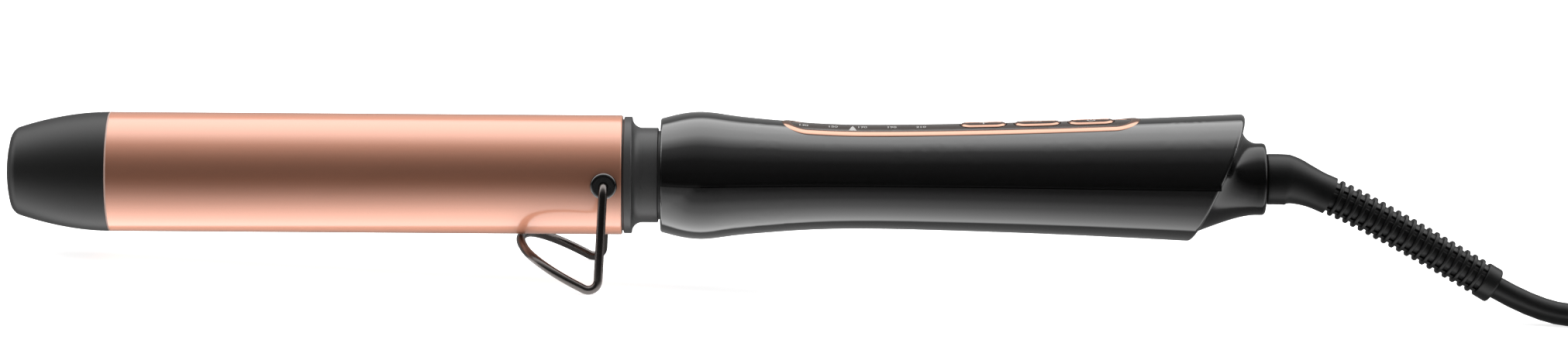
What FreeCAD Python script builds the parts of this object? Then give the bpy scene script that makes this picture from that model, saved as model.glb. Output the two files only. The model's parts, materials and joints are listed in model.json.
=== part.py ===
import FreeCAD, Part
import math
import os

from FreeCAD import Vector as V

# A plug-in curling-wand head on a multi-styler handle, with a fold-out wire stand and a swivel cord.
# Millimetres. It is modelled along X: the handle's front face is x = 0, the tip points to -X,
# the cord leaves at +X and the panel faces +Z. It is then stood on its stand and its cord.

# Barrel and cool tip
BARREL_R = 16.0
BARREL_WALL = 1.0
BARREL_LEN = 138.0
TIP_LEN = 26.0
TIP_TAPER = 4.0
TIP_EDGE_R = 1.5
TIP_WALL = 2.0
TIP_DOME = 1.5
TIP_STEP = 1.0
INSULATOR_WALL = 4.9
INSULATOR_REACH = 8.0
FIT_GAP = 0.1

# Collar between barrel and handle
BARREL_GAP = 0.4
FLANGE_STEP = 0.35
FLANGE_T = 2.2
NECK_R = 12.7
NECK_LEN = 7.0
NECK_GAP = 0.6
NECK_LIP_R = 11.9
NECK_LIP_GAP = 0.15
EDGE_R = 0.22
SPIGOT_LEN = 11.2
SPIGOT_WALL = 2.0
COLLAR_FLOOR = 1.0
PLUG_R = 10.0
PLUG_LEN = 26.0
PLUG_WALL = 2.0
PLUG_GROOVE = 0.6
PLUG_GROOVE_X = 8.0
PLUG_GROOVE_W = 1.6

# Heater in the barrel
SPREADER_TIP_GAP = 2.2
SPREADER_COLLAR_GAP = 5.0
SPREADER_SPLIT = 0.8
HEATER_LEN = 80.0
HEATER_W = 15.0
HEATER_H = 5.6
HEATER_SIDE_GAP = 0.7
HEATER_TOP_GAP = 0.3
FUSE_R = 1.6
FUSE_LEN = 10.0
FUSE_SPACE = 1.0
SENSOR_R = 0.9
SENSOR_LEN = 4.0
LEAD_R = 0.8
LEAD_GAP = 0.3

# Contacts between head and handle
PIN_R = 0.9
PIN_LEN = 17.0
PIN_OUT = 7.0
PIN_Y = 3.2
PIN_Z = 1.8
PIN_CLEARANCE = 0.08
CONTACT_WALL = 0.6
CONTACT_LEN = 8.0
CONTACT_STAGGER = 1.0
BLOCK_T = 6.0

# Wire stand
WIRE_R = 1.2
STAND_BACK = 4.7
STAND_GAP = 0.2
BUSH_HEAD_R = 3.6
BUSH_HEAD_T = 1.3
BUSH_EDGE_R = 0.9
BUSH_STEM_R = 2.6
BUSH_REACH = 0.5
LEG_OUT = 3.2
LEG_SPLAY = 3.75
FOOT_CLEAR = 12.45
FOOT_LEAN = 1.4
ELBOW_R = 2.3
FOOT_R = 2.6
LOOP_LEN = 23.9
LOOP_SIDE_R = 17.0
LOOP_END_R = 35.0
LOOP_END_ANGLE = 14.0
CLIP_R = 2.4
CLIP_T = 0.8
CLIP_IN = 0.6

# Handle
HANDLE_LEN = 158.6
FRONT_R = 15.2
BULGE_R = 17.1
BULGE_X = 10.8
WAIST_R = 14.03
WAIST_X = 53.5
TAIL_R = 17.6
TAIL_SWELL = 1.6
WALL = 2.0
FRONT_WALL = 2.2
FRONT_EDGE_R = 0.7
SLANT_BACK = 9.6
SLANT_DEG = 24.0
SLANT_EDGE_R = 1.0
SEAM_W = 0.35
SEAM_DEPTH = 0.4

# Head socket
SOCKET_CLEARANCE = 0.25
SOCKET_WALL = 1.75
SOCKET_END_T = 4.0
SOCKET_DEPTH_GAP = 1.0
SOCKET_RIB_BACK = 7.0
SOCKET_RIB_T = 3.0

# Control panel
PANEL_X = 32.3
PANEL_REAR_IN = 30.3
PANEL_W = 14.2
BEZEL_W = 2.6
BEZEL_RAISE = 0.2
BEZEL_DEPTH = 1.6
PANEL_RECESS = 0.15
PANEL_T = 1.4
SEAT_GAP = 0.05
BUTTON_COUNT = 3
BUTTON_REAR = 13.2
BUTTON_PITCH = 14.4
BUTTON_LEN = 12.3
BUTTON_W = 6.0
BUTTON_RAISE = 0.45
BUTTON_CAP_T = 1.4
BUTTON_RIM = 0.6
BUTTON_DISH = 0.3
BUTTON_GAP = 0.25
BUTTON_TRAVEL = 0.5
BUTTON_STEM_R = 1.6
STEM_GAP = 0.12
STEM_LAP = 0.2

# Control board
BOARD_IN = 2.0
BOARD_SINK = 9.63
BOARD_SIDE_GAP = 0.8
BOARD_T = 1.6
SWITCH_W = 6.0
SWITCH_H = 3.5
LED_IN = 5.6
LED_REAR_GAP = 10.45
LED_COUNT = 5
LED_W = 1.6
LED_H = 1.1
POST_R = 1.6
POST_FRONT_IN = 10.0
POST_REAR_IN = 14.0
POST_SIDE_IN = 1.2
POST_ROOT = 0.5
SCREW_R = 0.9
SCREW_REACH = 1.6
SCREW_HEAD_R = 1.7
SCREW_HEAD_T = 1.2
CAPACITOR = (18.0, 8.0, 10.0)
CAPACITOR_IN = 13.7
TRIAC = (10.0, 4.0, 12.0)
TRIAC_REAR_IN = 42.3
CHIP = (7.0, 7.0, 1.4)
CHIP_REAR_IN = 28.3

# Rear cap and cord swivel
CAP_RING = 4.0
CAP_GAP = 0.1
CAP_STEP = 0.46
FLARE_POWER = 1.65
COLLAR_R = 9.65
COLLAR_REACH = 10.3
COLLAR_LEN = 2.7
COLLAR_EDGE_R = 1.0
SWIVEL_R = 5.9
SWIVEL_CLEARANCE = 0.05
SPOOL_WALL_REACH = 1.0
SPOOL_LIP = 2.6
SPOOL_FLANGE_T = 2.0
SPOOL_GAP = 0.3
SPOOL_POCKET_GAP = 0.5
HUB_R = 4.4
HUB_LEN = 9.0
RING_WALL = 1.0
RING_T = 2.2
RING_IN = 1.0
RING_PITCH = 4.2
BRUSH_T = 0.5
BRUSH_GAP = 0.3
BRUSH_W = 1.8
BRUSH_LEN = 5.0
HOLDER_LEN = 8.4
HOLDER_W = 13.0
HOLDER_H = 3.0
HOLDER_GAP = 0.3
SUPPLY_R = 0.9
SUPPLY_Y = 3.0
SUPPLY_LAP = 6.0
STUB_R = 4.5
STUB_LEN = 5.0

# Angled boot and ribbed bend relief
BOOT_GAP = 0.25
BOOT_R = 6.8
BOOT_ROOT_LEN = 10.95
BOOT_BEND_DEG = 29.6
BOOT_BEND_R = 18.0
BOOT_EDGE_R = 0.5
ELBOW_TAPER = 0.94
ELBOW_POWER = 0.75
SLEEVE_LEN = 6.5
SLEEVE_STEP = 0.1
RIB_COUNT = 21
RIB_PITCH = 2.36
RIB_W = 1.0
RIB_H = 1.5
RIB_END_H = 1.3
CORE_WALL = 0.45
RELIEF_CAP_LEN = 2.6
SPINE_W = 3.4
SPINE_H = 0.95
SPINE_COUNT = 2

# Stance, cord, coil and plug
STANCE_DEG = 2.5
CORD_R = 3.1
CORD_RUN = 14.5
CORD_TURN = V(15.0, -1.6, 0)
COIL_PLACE = V(67.5, 9.2, 0)
RUN_SHARE = 0.45
LAYER_LIFT = 1.0
LOOP_R = 39.2
LOOP_GAP = 0.7
TURNS_PER_LAYER = 2
LAYERS = 4
COIL_START_DEG = 225.0
COIL_TRIM_DEG = 40.0
LEAD_OUT_R = 27.0
LEAD_OUT_DEG = 130.0
LEAD_CLIMB_DEG = 75.0
LEAD_BENDS = 6
GAP_SAMPLES = 700
TIE_DEG = 110.0
TIE_W = 8.0
TIE_T = 0.9
TIE_SLACK = 0.5
TIE_LIFT = 0.02
PRONG_R = 2.0
PRONG_LEN = 19.0
PRONG_SPACING = 19.0
PRONG_TIP_R = 0.9
PLUG_TAIL_LEN = 14.0
PLUG_TAIL_LAP = 2.0
PLUG_TAIL_WALL = 0.6
PLUG_TAIL_R = 4.6
PLUG_BODY_LEN = 24.0
PLUG_BODY_W = 33.0
PLUG_BODY_H = 13.7
PLUG_TAPER_LEN = 10.8
PLUG_SHOULDER_W = 15.0
PLUG_EDGE_R = 2.0
PLUG_GAP = 0.2

# Places and sizes that follow from those above
BARREL_BORE = BARREL_R - BARREL_WALL
FIT_R = BARREL_BORE - FIT_GAP
TIP_END_R = BARREL_R - TIP_TAPER
TIP_SEAT_R = BARREL_R - TIP_WALL
INSULATOR_BORE = TIP_SEAT_R - FIT_GAP - INSULATOR_WALL
FLANGE_R = BARREL_R - FLANGE_STEP
FLANGE_X = -NECK_GAP - NECK_LEN - FLANGE_T
BARREL_END_X = FLANGE_X - BARREL_GAP
BARREL_TIP_X = BARREL_END_X - BARREL_LEN
TIP_END_X = BARREL_TIP_X - TIP_LEN
PLUG_BORE = PLUG_R - PLUG_WALL
STAND_X = BARREL_END_X - STAND_BACK
LEG_TOP_Y = BARREL_R + LEG_OUT
LEG_FOOT_Y = LEG_TOP_Y + LEG_SPLAY
FOOT_DROP = BARREL_R + FOOT_CLEAR
SPIGOT_X = FLANGE_X - SPIGOT_LEN
SPREADER_X = BARREL_TIP_X + INSULATOR_REACH + SPREADER_TIP_GAP
SPREADER_END_X = SPIGOT_X - SPREADER_COLLAR_GAP
HEATER_X = (SPREADER_X + SPREADER_END_X - HEATER_LEN) / 2
HEATER_END_X = HEATER_X + HEATER_LEN
PIN_X = PLUG_LEN + PIN_OUT - PIN_LEN
SOCKET_R = PLUG_R + SOCKET_CLEARANCE
SOCKET_OUT_R = SOCKET_R + SOCKET_WALL
SOCKET_END_X = PLUG_LEN + SOCKET_DEPTH_GAP
SOCKET_RIB_X = SOCKET_END_X - SOCKET_RIB_BACK
CONTACT_X = SOCKET_END_X + SOCKET_END_T
PANEL_END_X = HANDLE_LEN - PANEL_REAR_IN
BUTTON_X = PANEL_END_X - BUTTON_REAR - BUTTON_PITCH * (BUTTON_COUNT - 1)
LED_X = PANEL_X + LED_IN
LED_END_X = BUTTON_X - BUTTON_LEN / 2 - LED_REAR_GAP
LED_PITCH = (LED_END_X - LED_X) / (LED_COUNT - 1)
BOARD_X = PANEL_X + BOARD_IN
BOARD_END_X = PANEL_END_X - BOARD_IN
BOARD_Z = WAIST_R - BOARD_SINK
BOARD_TOP = BOARD_Z + BOARD_T
BOARD_HALF = math.sqrt((WAIST_R - WALL) ** 2 - BOARD_TOP**2) - BOARD_SIDE_GAP
POST_Y = BOARD_HALF - POST_SIDE_IN
SWITCH_TOP = BOARD_TOP + SWITCH_H
SLANT = math.tan(math.radians(SLANT_DEG))
SLANT_X = HANDLE_LEN - SLANT_BACK
COLLAR_X = SLANT_X + COLLAR_REACH
COLLAR_END_X = COLLAR_X + COLLAR_LEN
SPOOL_WALL_X = SLANT_X + SPOOL_WALL_REACH
SPOOL_FLANGE_X = SPOOL_WALL_X - SPOOL_GAP - SPOOL_FLANGE_T
SPOOL_FLANGE_R = SWIVEL_R + SPOOL_LIP
HUB_X = SPOOL_FLANGE_X - HUB_LEN
RING_R = HUB_R + RING_WALL
BRUSH_Z = RING_R + BRUSH_GAP
BOOT_X = COLLAR_END_X + BOOT_GAP
BOOT_BEND_X = BOOT_X + BOOT_ROOT_LEN
CORE_R = CORD_R + CORE_WALL
SPINE_R = CORE_R + SPINE_H
RIB_R = CORE_R + RIB_H
RIB_END_R = CORE_R + RIB_END_H
SLEEVE_R = RIB_R + SLEEVE_STEP
LOOP_PITCH = 2 * CORD_R + LOOP_GAP
COIL_TOP = LAYER_LIFT + 2 * CORD_R + LOOP_PITCH * (LAYERS - 1)
KNEE = math.sqrt(0.5)
OVER = 1.0
FAR = 60.0
LONG = 4 * FAR
X_AXIS = V(1, 0, 0)
Y_AXIS = V(0, 1, 0)
Z_AXIS = V(0, 0, 1)
ORIGIN = V(0, 0, 0)


def box(x0, x1, y0, y1, z0, z1):
    """A block between two corners."""
    return Part.makeBox(x1 - x0, y1 - y0, z1 - z0, V(x0, y0, z0))


def rod_x(radius, x0, x1, y=0.0, z=0.0):
    """A round bar along X."""
    return Part.makeCylinder(radius, x1 - x0, V(x0, y, z), X_AXIS)


def rod_y(radius, y0, y1, x=0.0, z=0.0):
    """A round bar along Y."""
    return Part.makeCylinder(radius, y1 - y0, V(x, y0, z), Y_AXIS)


def rod_z(radius, z0, z1, x=0.0, y=0.0):
    """A round bar along Z."""
    return Part.makeCylinder(radius, z1 - z0, V(x, y, z0), Z_AXIS)


def line(a, b):
    """A straight edge."""
    return Part.LineSegment(a, b).toShape()


def spun(edges):
    """Turn a closed outline of edges in the XZ plane about the X axis."""
    face = Part.Face(Part.Wire(edges))
    return face.revolve(ORIGIN, X_AXIS, 360)


def spun_outline(points):
    """Turn a closed outline of (x, radius) corners about the X axis."""
    corners = [V(x, 0, r) for x, r in points]
    return spun([line(a, b) for a, b in zip(corners, corners[1:] + corners[:1])])


def stadium(x0, x1, width, z0, z1):
    """An upright block with two round ends, in line with the handle."""
    r = width / 2
    a = V(x0 + r, -r, z0)
    b = V(x1 - r, -r, z0)
    c = V(x1 - r, r, z0)
    d = V(x0 + r, r, z0)
    rear = Part.Arc(b, V(x1, 0, z0), c).toShape()
    front = Part.Arc(d, V(x0, 0, z0), a).toShape()
    face = Part.Face(Part.Wire([line(a, b), rear, line(c, d), front]))
    return face.extrude(V(0, 0, z1 - z0))


def ring_wire(radius, centre, direction):
    """A closed circle."""
    return Part.Wire(Part.makeCircle(radius, centre, direction))


def rounded_path(points, radii):
    """Straight runs joined by tangent arcs, with one radius for each inner point."""
    edges = []
    start = points[0]
    for before, corner, after, radius in zip(points, points[1:], points[2:], radii):
        come = (corner - before).normalize()
        leave = (after - corner).normalize()
        half = come.getAngle(leave) / 2
        reach = radius * math.tan(half)
        inward = (leave - come).normalize()
        middle = corner + inward * (radius / math.cos(half) - radius)
        arc_start = corner - come * reach
        arc_end = corner + leave * reach
        edges.append(line(start, arc_start))
        edges.append(Part.Arc(arc_start, middle, arc_end).toShape())
        start = arc_end
    edges.append(line(start, points[-1]))
    return Part.Wire(edges)


def route_radii(points):
    """The largest radius that the runs at each inner point of a cord's route allow."""
    radii = []
    for before, corner, after in zip(points, points[1:], points[2:]):
        come = corner - before
        leave = after - corner
        half = come.getAngle(leave) / 2
        radii.append(RUN_SHARE * min(come.Length, leave.Length) / math.tan(half))
    return radii


def arc_from(start, tangent, end):
    """The arc that leaves start along tangent and reaches end."""
    chord = end - start
    along = V(chord).normalize()
    aside = tangent - along * tangent.dot(along)
    if aside.Length < 1e-6:
        return line(start, end)
    half = tangent.getAngle(chord) / 2
    rise = aside.normalize() * (chord.Length / 2 * math.tan(half))
    return Part.Arc(start, (start + end) * 0.5 + rise, end).toShape()


def biarc(start, start_dir, end, end_dir):
    """Two tangent arcs between two points with given directions."""
    across = end - start
    both = start_dir + end_dir
    square = 2 * (1 - start_dir.dot(end_dir))
    linear = across.dot(both)
    if square < 1e-9:
        reach = across.dot(across) / (2 * linear)
    else:
        root = math.sqrt(linear * linear + square * across.dot(across))
        reach = (root - linear) / square
    joint = (start + start_dir * reach + end - end_dir * reach) * 0.5
    first = arc_from(start, start_dir, joint)
    second = arc_from(end, end_dir * -1, joint)
    return [first, second]


def swept(path, radius, start, direction):
    """A round tube along a path."""
    return path.makePipeShell([ring_wire(radius, start, direction)], True, False)


def end_rim(shape, x):
    """The round edge of a bar along X at one of its ends."""
    return [e for e in shape.Edges if abs(e.CenterOfMass.x - x) < 1e-6 and len(e.Vertexes) == 1]


def ease(t):
    """A smooth step from 0 to 1."""
    t = min(max(t, 0.0), 1.0)
    return t * t * (3 - 2 * t)


# The handle's form: a bulge in front, a waist under the panel and a swelling tail
def handle_radius(x):
    """The handle's outer radius at a distance from its front face."""
    if x <= BULGE_X:
        return FRONT_R + (BULGE_R - FRONT_R) * math.sin(math.pi / 2 * x / BULGE_X)
    if x <= WAIST_X:
        t = (x - BULGE_X) / (WAIST_X - BULGE_X)
        return BULGE_R - (BULGE_R - WAIST_R) * math.sin(math.pi / 2 * t)
    t = (x - WAIST_X) / (HANDLE_LEN - WAIST_X)
    return WAIST_R + (TAIL_R - WAIST_R) * t**TAIL_SWELL


def handle_form(inset):
    """The solid form of the handle, drawn in by an inset."""
    steps = 5
    places = [BULGE_X * i / steps for i in range(steps)]
    places += [BULGE_X + (WAIST_X - BULGE_X) * i / steps for i in range(steps)]
    places += [WAIST_X + (HANDLE_LEN - WAIST_X) * i / steps for i in range(steps + 1)]
    points = [V(x, 0, handle_radius(x) - inset) for x in places]
    side = Part.BSplineCurve()
    side.interpolate(points)
    front = V(0, 0, 0)
    rear = V(HANDLE_LEN, 0, 0)
    return spun([side.toShape(), line(points[-1], rear), line(rear, front), line(front, points[0])])


def behind_slant(shift):
    """All that lies behind the slanted rear face, moved along X by a shift."""
    block = box(0, FAR, -FAR, FAR, -FAR, FAR)
    block.rotate(ORIGIN, Y_AXIS, SLANT_DEG)
    block.translate(V(SLANT_X + shift, 0, 0))
    return block


def skin(outer_inset, inner_inset):
    """A layer of the handle's wall between two insets."""
    return handle_form(outer_inset).cut(handle_form(inner_inset))


# Barrel, tip and heater
def make_cool_tip():
    """The heat-proof nose: a hollow cap with a gently domed end."""
    end_t = TIP_LEN - TIP_DOME - TIP_EDGE_R
    drop = BARREL_R - TIP_END_R
    side_r = (end_t**2 + drop**2) / (2 * drop)
    half = math.asin(end_t / side_r) / 2
    mid_t = side_r * math.sin(half)
    mid_r = BARREL_R - side_r * (1 - math.cos(half))
    rim = V(BARREL_TIP_X, 0, BARREL_R)
    side_mid = V(BARREL_TIP_X - mid_t, 0, mid_r)
    side_end = V(BARREL_TIP_X - end_t, 0, TIP_END_R)
    face_x = TIP_END_X + TIP_DOME
    corner_end = V(face_x, 0, TIP_END_R - TIP_EDGE_R)
    corner_mid = V(BARREL_TIP_X - end_t - TIP_EDGE_R * KNEE, 0, TIP_END_R - TIP_EDGE_R * (1 - KNEE))
    pole = V(TIP_END_X, 0, 0)
    dome_r = (corner_end.z**2 + TIP_DOME**2) / (2 * TIP_DOME)
    dome_half = math.asin(corner_end.z / dome_r) / 2
    dome_mid = V(TIP_END_X + dome_r * (1 - math.cos(dome_half)), 0, dome_r * math.sin(dome_half))
    base = V(BARREL_TIP_X, 0, 0)
    outer = spun(
        [
            Part.Arc(rim, side_mid, side_end).toShape(),
            Part.Arc(side_end, corner_mid, corner_end).toShape(),
            Part.Arc(corner_end, dome_mid, pole).toShape(),
            line(pole, base),
            line(base, rim),
        ]
    )
    step_x = BARREL_TIP_X - INSULATOR_REACH
    end_x = TIP_END_X + TIP_WALL + TIP_DOME
    hollow = spun_outline(
        [
            (BARREL_TIP_X, 0),
            (BARREL_TIP_X, TIP_SEAT_R),
            (step_x, TIP_SEAT_R),
            (step_x, TIP_SEAT_R - TIP_STEP),
            (end_x, TIP_END_R - TIP_WALL - TIP_STEP),
            (end_x, 0),
        ]
    )
    return outer.cut(hollow)


def make_tip_insulator():
    """The stepped ring that joins tip and barrel."""
    step_x = BARREL_TIP_X - INSULATOR_REACH + FIT_GAP
    end_x = BARREL_TIP_X + INSULATOR_REACH
    return spun_outline(
        [
            (step_x, INSULATOR_BORE),
            (step_x, TIP_SEAT_R - FIT_GAP),
            (BARREL_TIP_X, TIP_SEAT_R - FIT_GAP),
            (BARREL_TIP_X, FIT_R),
            (end_x, FIT_R),
            (end_x, INSULATOR_BORE),
        ]
    )


def make_barrel_tube():
    """The rose-gold tube, with a hole each side for the stand's bushes."""
    tube = rod_x(BARREL_R, BARREL_TIP_X, BARREL_END_X).cut(rod_x(BARREL_BORE, BARREL_TIP_X, BARREL_END_X))
    return tube.cut(rod_y(BUSH_STEM_R, -FAR, FAR, STAND_X))


def make_heat_spreader(side):
    """One D-shaped half that carries heat from the element to the tube; side is 1 above, -1 below."""
    bar = rod_x(FIT_R, SPREADER_X, SPREADER_END_X)
    wide = HEATER_W / 2 + HEATER_SIDE_GAP
    high = HEATER_H / 2 + HEATER_TOP_GAP
    pocket = box(SPREADER_X - OVER, FAR, -wide, wide, -high, high)
    half = box(SPREADER_X - OVER, FAR, -FAR, FAR, SPREADER_SPLIT / 2, FAR)
    if side < 0:
        half = half.mirror(ORIGIN, Z_AXIS)
    return bar.cut(pocket).common(half)


def make_heater():
    """The flat ceramic heating element."""
    return box(HEATER_X, HEATER_END_X, -HEATER_W / 2, HEATER_W / 2, -HEATER_H / 2, HEATER_H / 2)


def pin_places():
    """The four places of the contact pins in the YZ plane."""
    return [(y, z) for y in (-PIN_Y, PIN_Y) for z in (-PIN_Z, PIN_Z)]


def make_heater_leads():
    """Four leads from the element to the contact pins."""
    return Part.makeCompound([rod_x(LEAD_R, HEATER_END_X, PIN_X, y, z) for y, z in pin_places()])


def lead_side_y(radius):
    """A place in the pocket beside the leads for a round piece."""
    return PIN_Y + LEAD_R + radius + LEAD_GAP


def make_thermal_fuse():
    """The safety cut-out beside the leads."""
    x0 = HEATER_END_X + FUSE_SPACE
    return rod_x(FUSE_R, x0, x0 + FUSE_LEN, lead_side_y(FUSE_R), 0)


def make_thermistor():
    """The temperature bead on the other side of the leads."""
    x0 = HEATER_END_X + FUSE_SPACE
    return rod_x(SENSOR_R, x0, x0 + SENSOR_LEN, -lead_side_y(SENSOR_R), 0)


# Collar, contacts and stand bushes
def make_barrel_collar():
    """The collar: a spigot in the barrel, a flange, a filleted neck and a plug for the handle."""
    neck_end = -NECK_GAP
    fillet_x = FLANGE_X + FLANGE_T
    fillet_r = FLANGE_R - EDGE_R - NECK_R
    knee = fillet_r * (1 - KNEE)
    floor_x = FLANGE_X + COLLAR_FLOOR
    spigot_bore = FIT_R - SPIGOT_WALL
    groove_end = PLUG_GROOVE_X + PLUG_GROOVE_W
    corners = [
        (SPIGOT_X, spigot_bore),
        (SPIGOT_X, FIT_R),
        (FLANGE_X, FIT_R),
        (FLANGE_X, FLANGE_R - EDGE_R),
        (FLANGE_X + EDGE_R, FLANGE_R),
        (fillet_x - EDGE_R, FLANGE_R),
        (fillet_x, FLANGE_R - EDGE_R),
    ]
    rest = [
        (fillet_x + fillet_r, NECK_R),
        (neck_end - EDGE_R, NECK_R),
        (neck_end, NECK_R - EDGE_R),
        (neck_end, NECK_LIP_R),
        (-NECK_LIP_GAP, NECK_LIP_R),
        (-NECK_LIP_GAP, PLUG_R),
        (PLUG_GROOVE_X, PLUG_R),
        (PLUG_GROOVE_X, PLUG_R - PLUG_GROOVE),
        (groove_end, PLUG_R - PLUG_GROOVE),
        (groove_end, PLUG_R),
        (PLUG_LEN - EDGE_R, PLUG_R),
        (PLUG_LEN, PLUG_R - EDGE_R),
        (PLUG_LEN, PLUG_BORE),
        (floor_x, PLUG_BORE),
        (floor_x, spigot_bore),
    ]
    before = [V(x, 0, r) for x, r in corners]
    after = [V(x, 0, r) for x, r in rest]
    edges = [line(a, b) for a, b in zip(before, before[1:])]
    edges.append(Part.Arc(before[-1], V(fillet_x + knee, 0, NECK_R + knee), after[0]).toShape())
    edges += [line(a, b) for a, b in zip(after, after[1:] + before[:1])]
    return spun(edges).cut(rod_y(BUSH_STEM_R, -FAR, FAR, STAND_X))


def make_contact_block():
    """The insulating disc that holds the pins in the plug's end."""
    disc = rod_x(PLUG_BORE, PLUG_LEN - BLOCK_T, PLUG_LEN)
    for y, z in pin_places():
        disc = disc.cut(rod_x(PIN_R, PLUG_LEN - BLOCK_T, PLUG_LEN, y, z))
    return disc


def make_contact_pins():
    """Four round pins that enter the handle's contacts."""
    return Part.makeCompound([rod_x(PIN_R, PIN_X, PIN_X + PIN_LEN, y, z) for y, z in pin_places()])


def make_stand_bush(side):
    """A domed bush through barrel and spigot wall; side is -1 near, 1 far."""
    inner = FIT_R - SPIGOT_WALL - BUSH_REACH
    top = BARREL_R + BUSH_HEAD_T
    stem = rod_y(BUSH_STEM_R, inner, BARREL_R, STAND_X)
    head = rod_y(BUSH_HEAD_R, BARREL_R - OVER, top, STAND_X)
    rim = [e for e in head.Edges if abs(e.CenterOfMass.y - top) < 1e-6 and len(e.Vertexes) == 1]
    head = head.makeFillet(BUSH_EDGE_R, rim)
    head = head.cut(rod_x(BARREL_R, STAND_X - FAR, STAND_X + FAR))
    bush = stem.common(rod_x(BARREL_R, STAND_X - FAR, STAND_X + FAR)).fuse(head)
    bush = bush.cut(rod_y(WIRE_R + PIN_CLEARANCE, 0, FAR, STAND_X)).removeSplitter()
    if side < 0:
        bush = bush.mirror(ORIGIN, Y_AXIS)
    return bush


# Wire stand
def stand_inner_y():
    """Where the wire ends inside the collar."""
    return FIT_R - SPIGOT_WALL - BUSH_REACH - CLIP_T - CLIP_IN


def loop_points():
    """The corners of one side of the stand's foot loop, as (slope distance, y)."""
    half = math.radians(LOOP_END_ANGLE)
    apex = LOOP_LEN + LOOP_END_R * (1 / math.cos(half) - 1)
    shoulder = apex - LEG_FOOT_Y * math.tan(half)
    return apex, shoulder


def make_stand_wire():
    """One bent wire: pivot ends, two splayed legs, two feet and a loop under the barrel."""
    apex, shoulder = loop_points()
    foot_x = STAND_X - FOOT_LEAN
    rise = FOOT_CLEAR - WIRE_R - STAND_GAP
    slope = math.asin(rise / LOOP_LEN)

    def on_loop(distance, y):
        return V(foot_x - distance * math.cos(slope), y, -FOOT_DROP + distance * math.sin(slope))

    near = [
        V(STAND_X, -stand_inner_y(), 0),
        V(STAND_X, -LEG_TOP_Y, 0),
        V(foot_x, -LEG_FOOT_Y, -FOOT_DROP),
        on_loop(shoulder, -LEG_FOOT_Y),
    ]
    far = [V(p.x, -p.y, p.z) for p in reversed(near)]
    points = near + [on_loop(apex, 0)] + far
    side = [ELBOW_R, FOOT_R, LOOP_SIDE_R]
    path = rounded_path(points, side + [LOOP_END_R] + side[::-1])
    return swept(path, WIRE_R, points[0], Y_AXIS)


def make_stand_clips():
    """Two push-on clips that keep the wire's ends in the bushes."""
    inner = stand_inner_y() + CLIP_IN
    clip = rod_y(CLIP_R, inner, inner + CLIP_T - FIT_GAP, STAND_X)
    clip = clip.cut(rod_y(WIRE_R, 0, FAR, STAND_X))
    return Part.makeCompound([clip, clip.mirror(ORIGIN, Y_AXIS)])


# Handle shells
def make_shell_body():
    """Both shells in one: the outer form with its cavity, mouth and slanted rear."""
    outer = handle_form(0).cut(behind_slant(0))
    front = [e for e in outer.Edges if abs(e.BoundBox.XMax) < 1e-6]
    outer = outer.makeFillet(FRONT_EDGE_R, front)
    slant_edges = [e for e in outer.Edges if e.BoundBox.XMin > SLANT_X - FAR * SLANT and e.Length > BULGE_R]
    slant_edges = [e for e in slant_edges if abs(on_slant(e)) < 1e-3]
    outer = outer.makeFillet(SLANT_EDGE_R, slant_edges)
    cavity = handle_form(WALL).cut(box(-OVER, FRONT_WALL, -FAR, FAR, -FAR, FAR))
    mouth = rod_x(SOCKET_R, -OVER, FRONT_WALL + OVER)
    body = outer.cut(cavity).cut(mouth)
    rib = rod_x(BULGE_R, SOCKET_RIB_X, SOCKET_RIB_X + SOCKET_RIB_T)
    rib = rib.cut(rod_x(SOCKET_OUT_R, 0, FAR)).common(handle_form(WALL / 2))
    groove = skin(-OVER, SEAM_DEPTH).common(box(-OVER, LONG, -FAR, FAR, -SEAM_W / 2, SEAM_W / 2))
    return body.fuse(rib).cut(groove)


def on_slant(edge):
    """How far an edge's middle lies from the slanted rear plane."""
    middle = edge.valueAt((edge.FirstParameter + edge.LastParameter) / 2)
    return middle.x - SLANT_X - middle.z * SLANT


def panel_block(width_inset, z0=0.0):
    """The upright block of the panel's outline, drawn in by an inset."""
    x0 = PANEL_X + width_inset
    x1 = PANEL_END_X - width_inset
    return stadium(x0, x1, PANEL_W - 2 * width_inset, z0, FAR)


def post_places():
    """The four board posts in the XY plane."""
    front_x = BOARD_X + POST_FRONT_IN
    rear_x = BOARD_END_X - POST_REAR_IN
    return [(x, y) for x in (front_x, rear_x) for y in (-POST_Y, POST_Y)]


def make_upper_shell(body):
    """The upper shell, open under the panel, with the board's posts."""
    shell = body.copy().common(box(-OVER, LONG, -FAR, FAR, 0, FAR))
    shell = shell.cut(panel_block(0))
    seat = skin(-OVER, BEZEL_DEPTH + SEAT_GAP).common(panel_block(0))
    for x, y in post_places():
        post = rod_z(POST_R, BOARD_TOP, FAR, x, y).common(handle_form(WALL - POST_ROOT)).cut(seat)
        post = post.cut(rod_z(SCREW_R, BOARD_Z, BOARD_TOP + SCREW_REACH, x, y))
        shell = shell.fuse(post)
    return shell


def make_lower_shell(body):
    """The plain lower shell."""
    return body.copy().common(box(-OVER, LONG, -FAR, FAR, -FAR, 0))


# Panel, buttons and board
def make_bezel():
    """The polished rim round the panel."""
    ring = panel_block(SEAT_GAP).cut(panel_block(BEZEL_W))
    return skin(-BEZEL_RAISE, BEZEL_DEPTH).common(ring)


def button_ends(index):
    """The two ends of a button in X."""
    middle = BUTTON_X + BUTTON_PITCH * index
    return middle - BUTTON_LEN / 2, middle + BUTTON_LEN / 2


def make_panel():
    """The smoked panel, which follows the handle's curve, with three button holes."""
    panel = skin(PANEL_RECESS, PANEL_RECESS + PANEL_T).common(panel_block(BEZEL_W + SEAT_GAP))
    for index in range(BUTTON_COUNT):
        x0, x1 = button_ends(index)
        hole = stadium(x0 - BUTTON_GAP, x1 + BUTTON_GAP, BUTTON_W + 2 * BUTTON_GAP, 0, FAR)
        panel = panel.cut(hole)
    return panel


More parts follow.
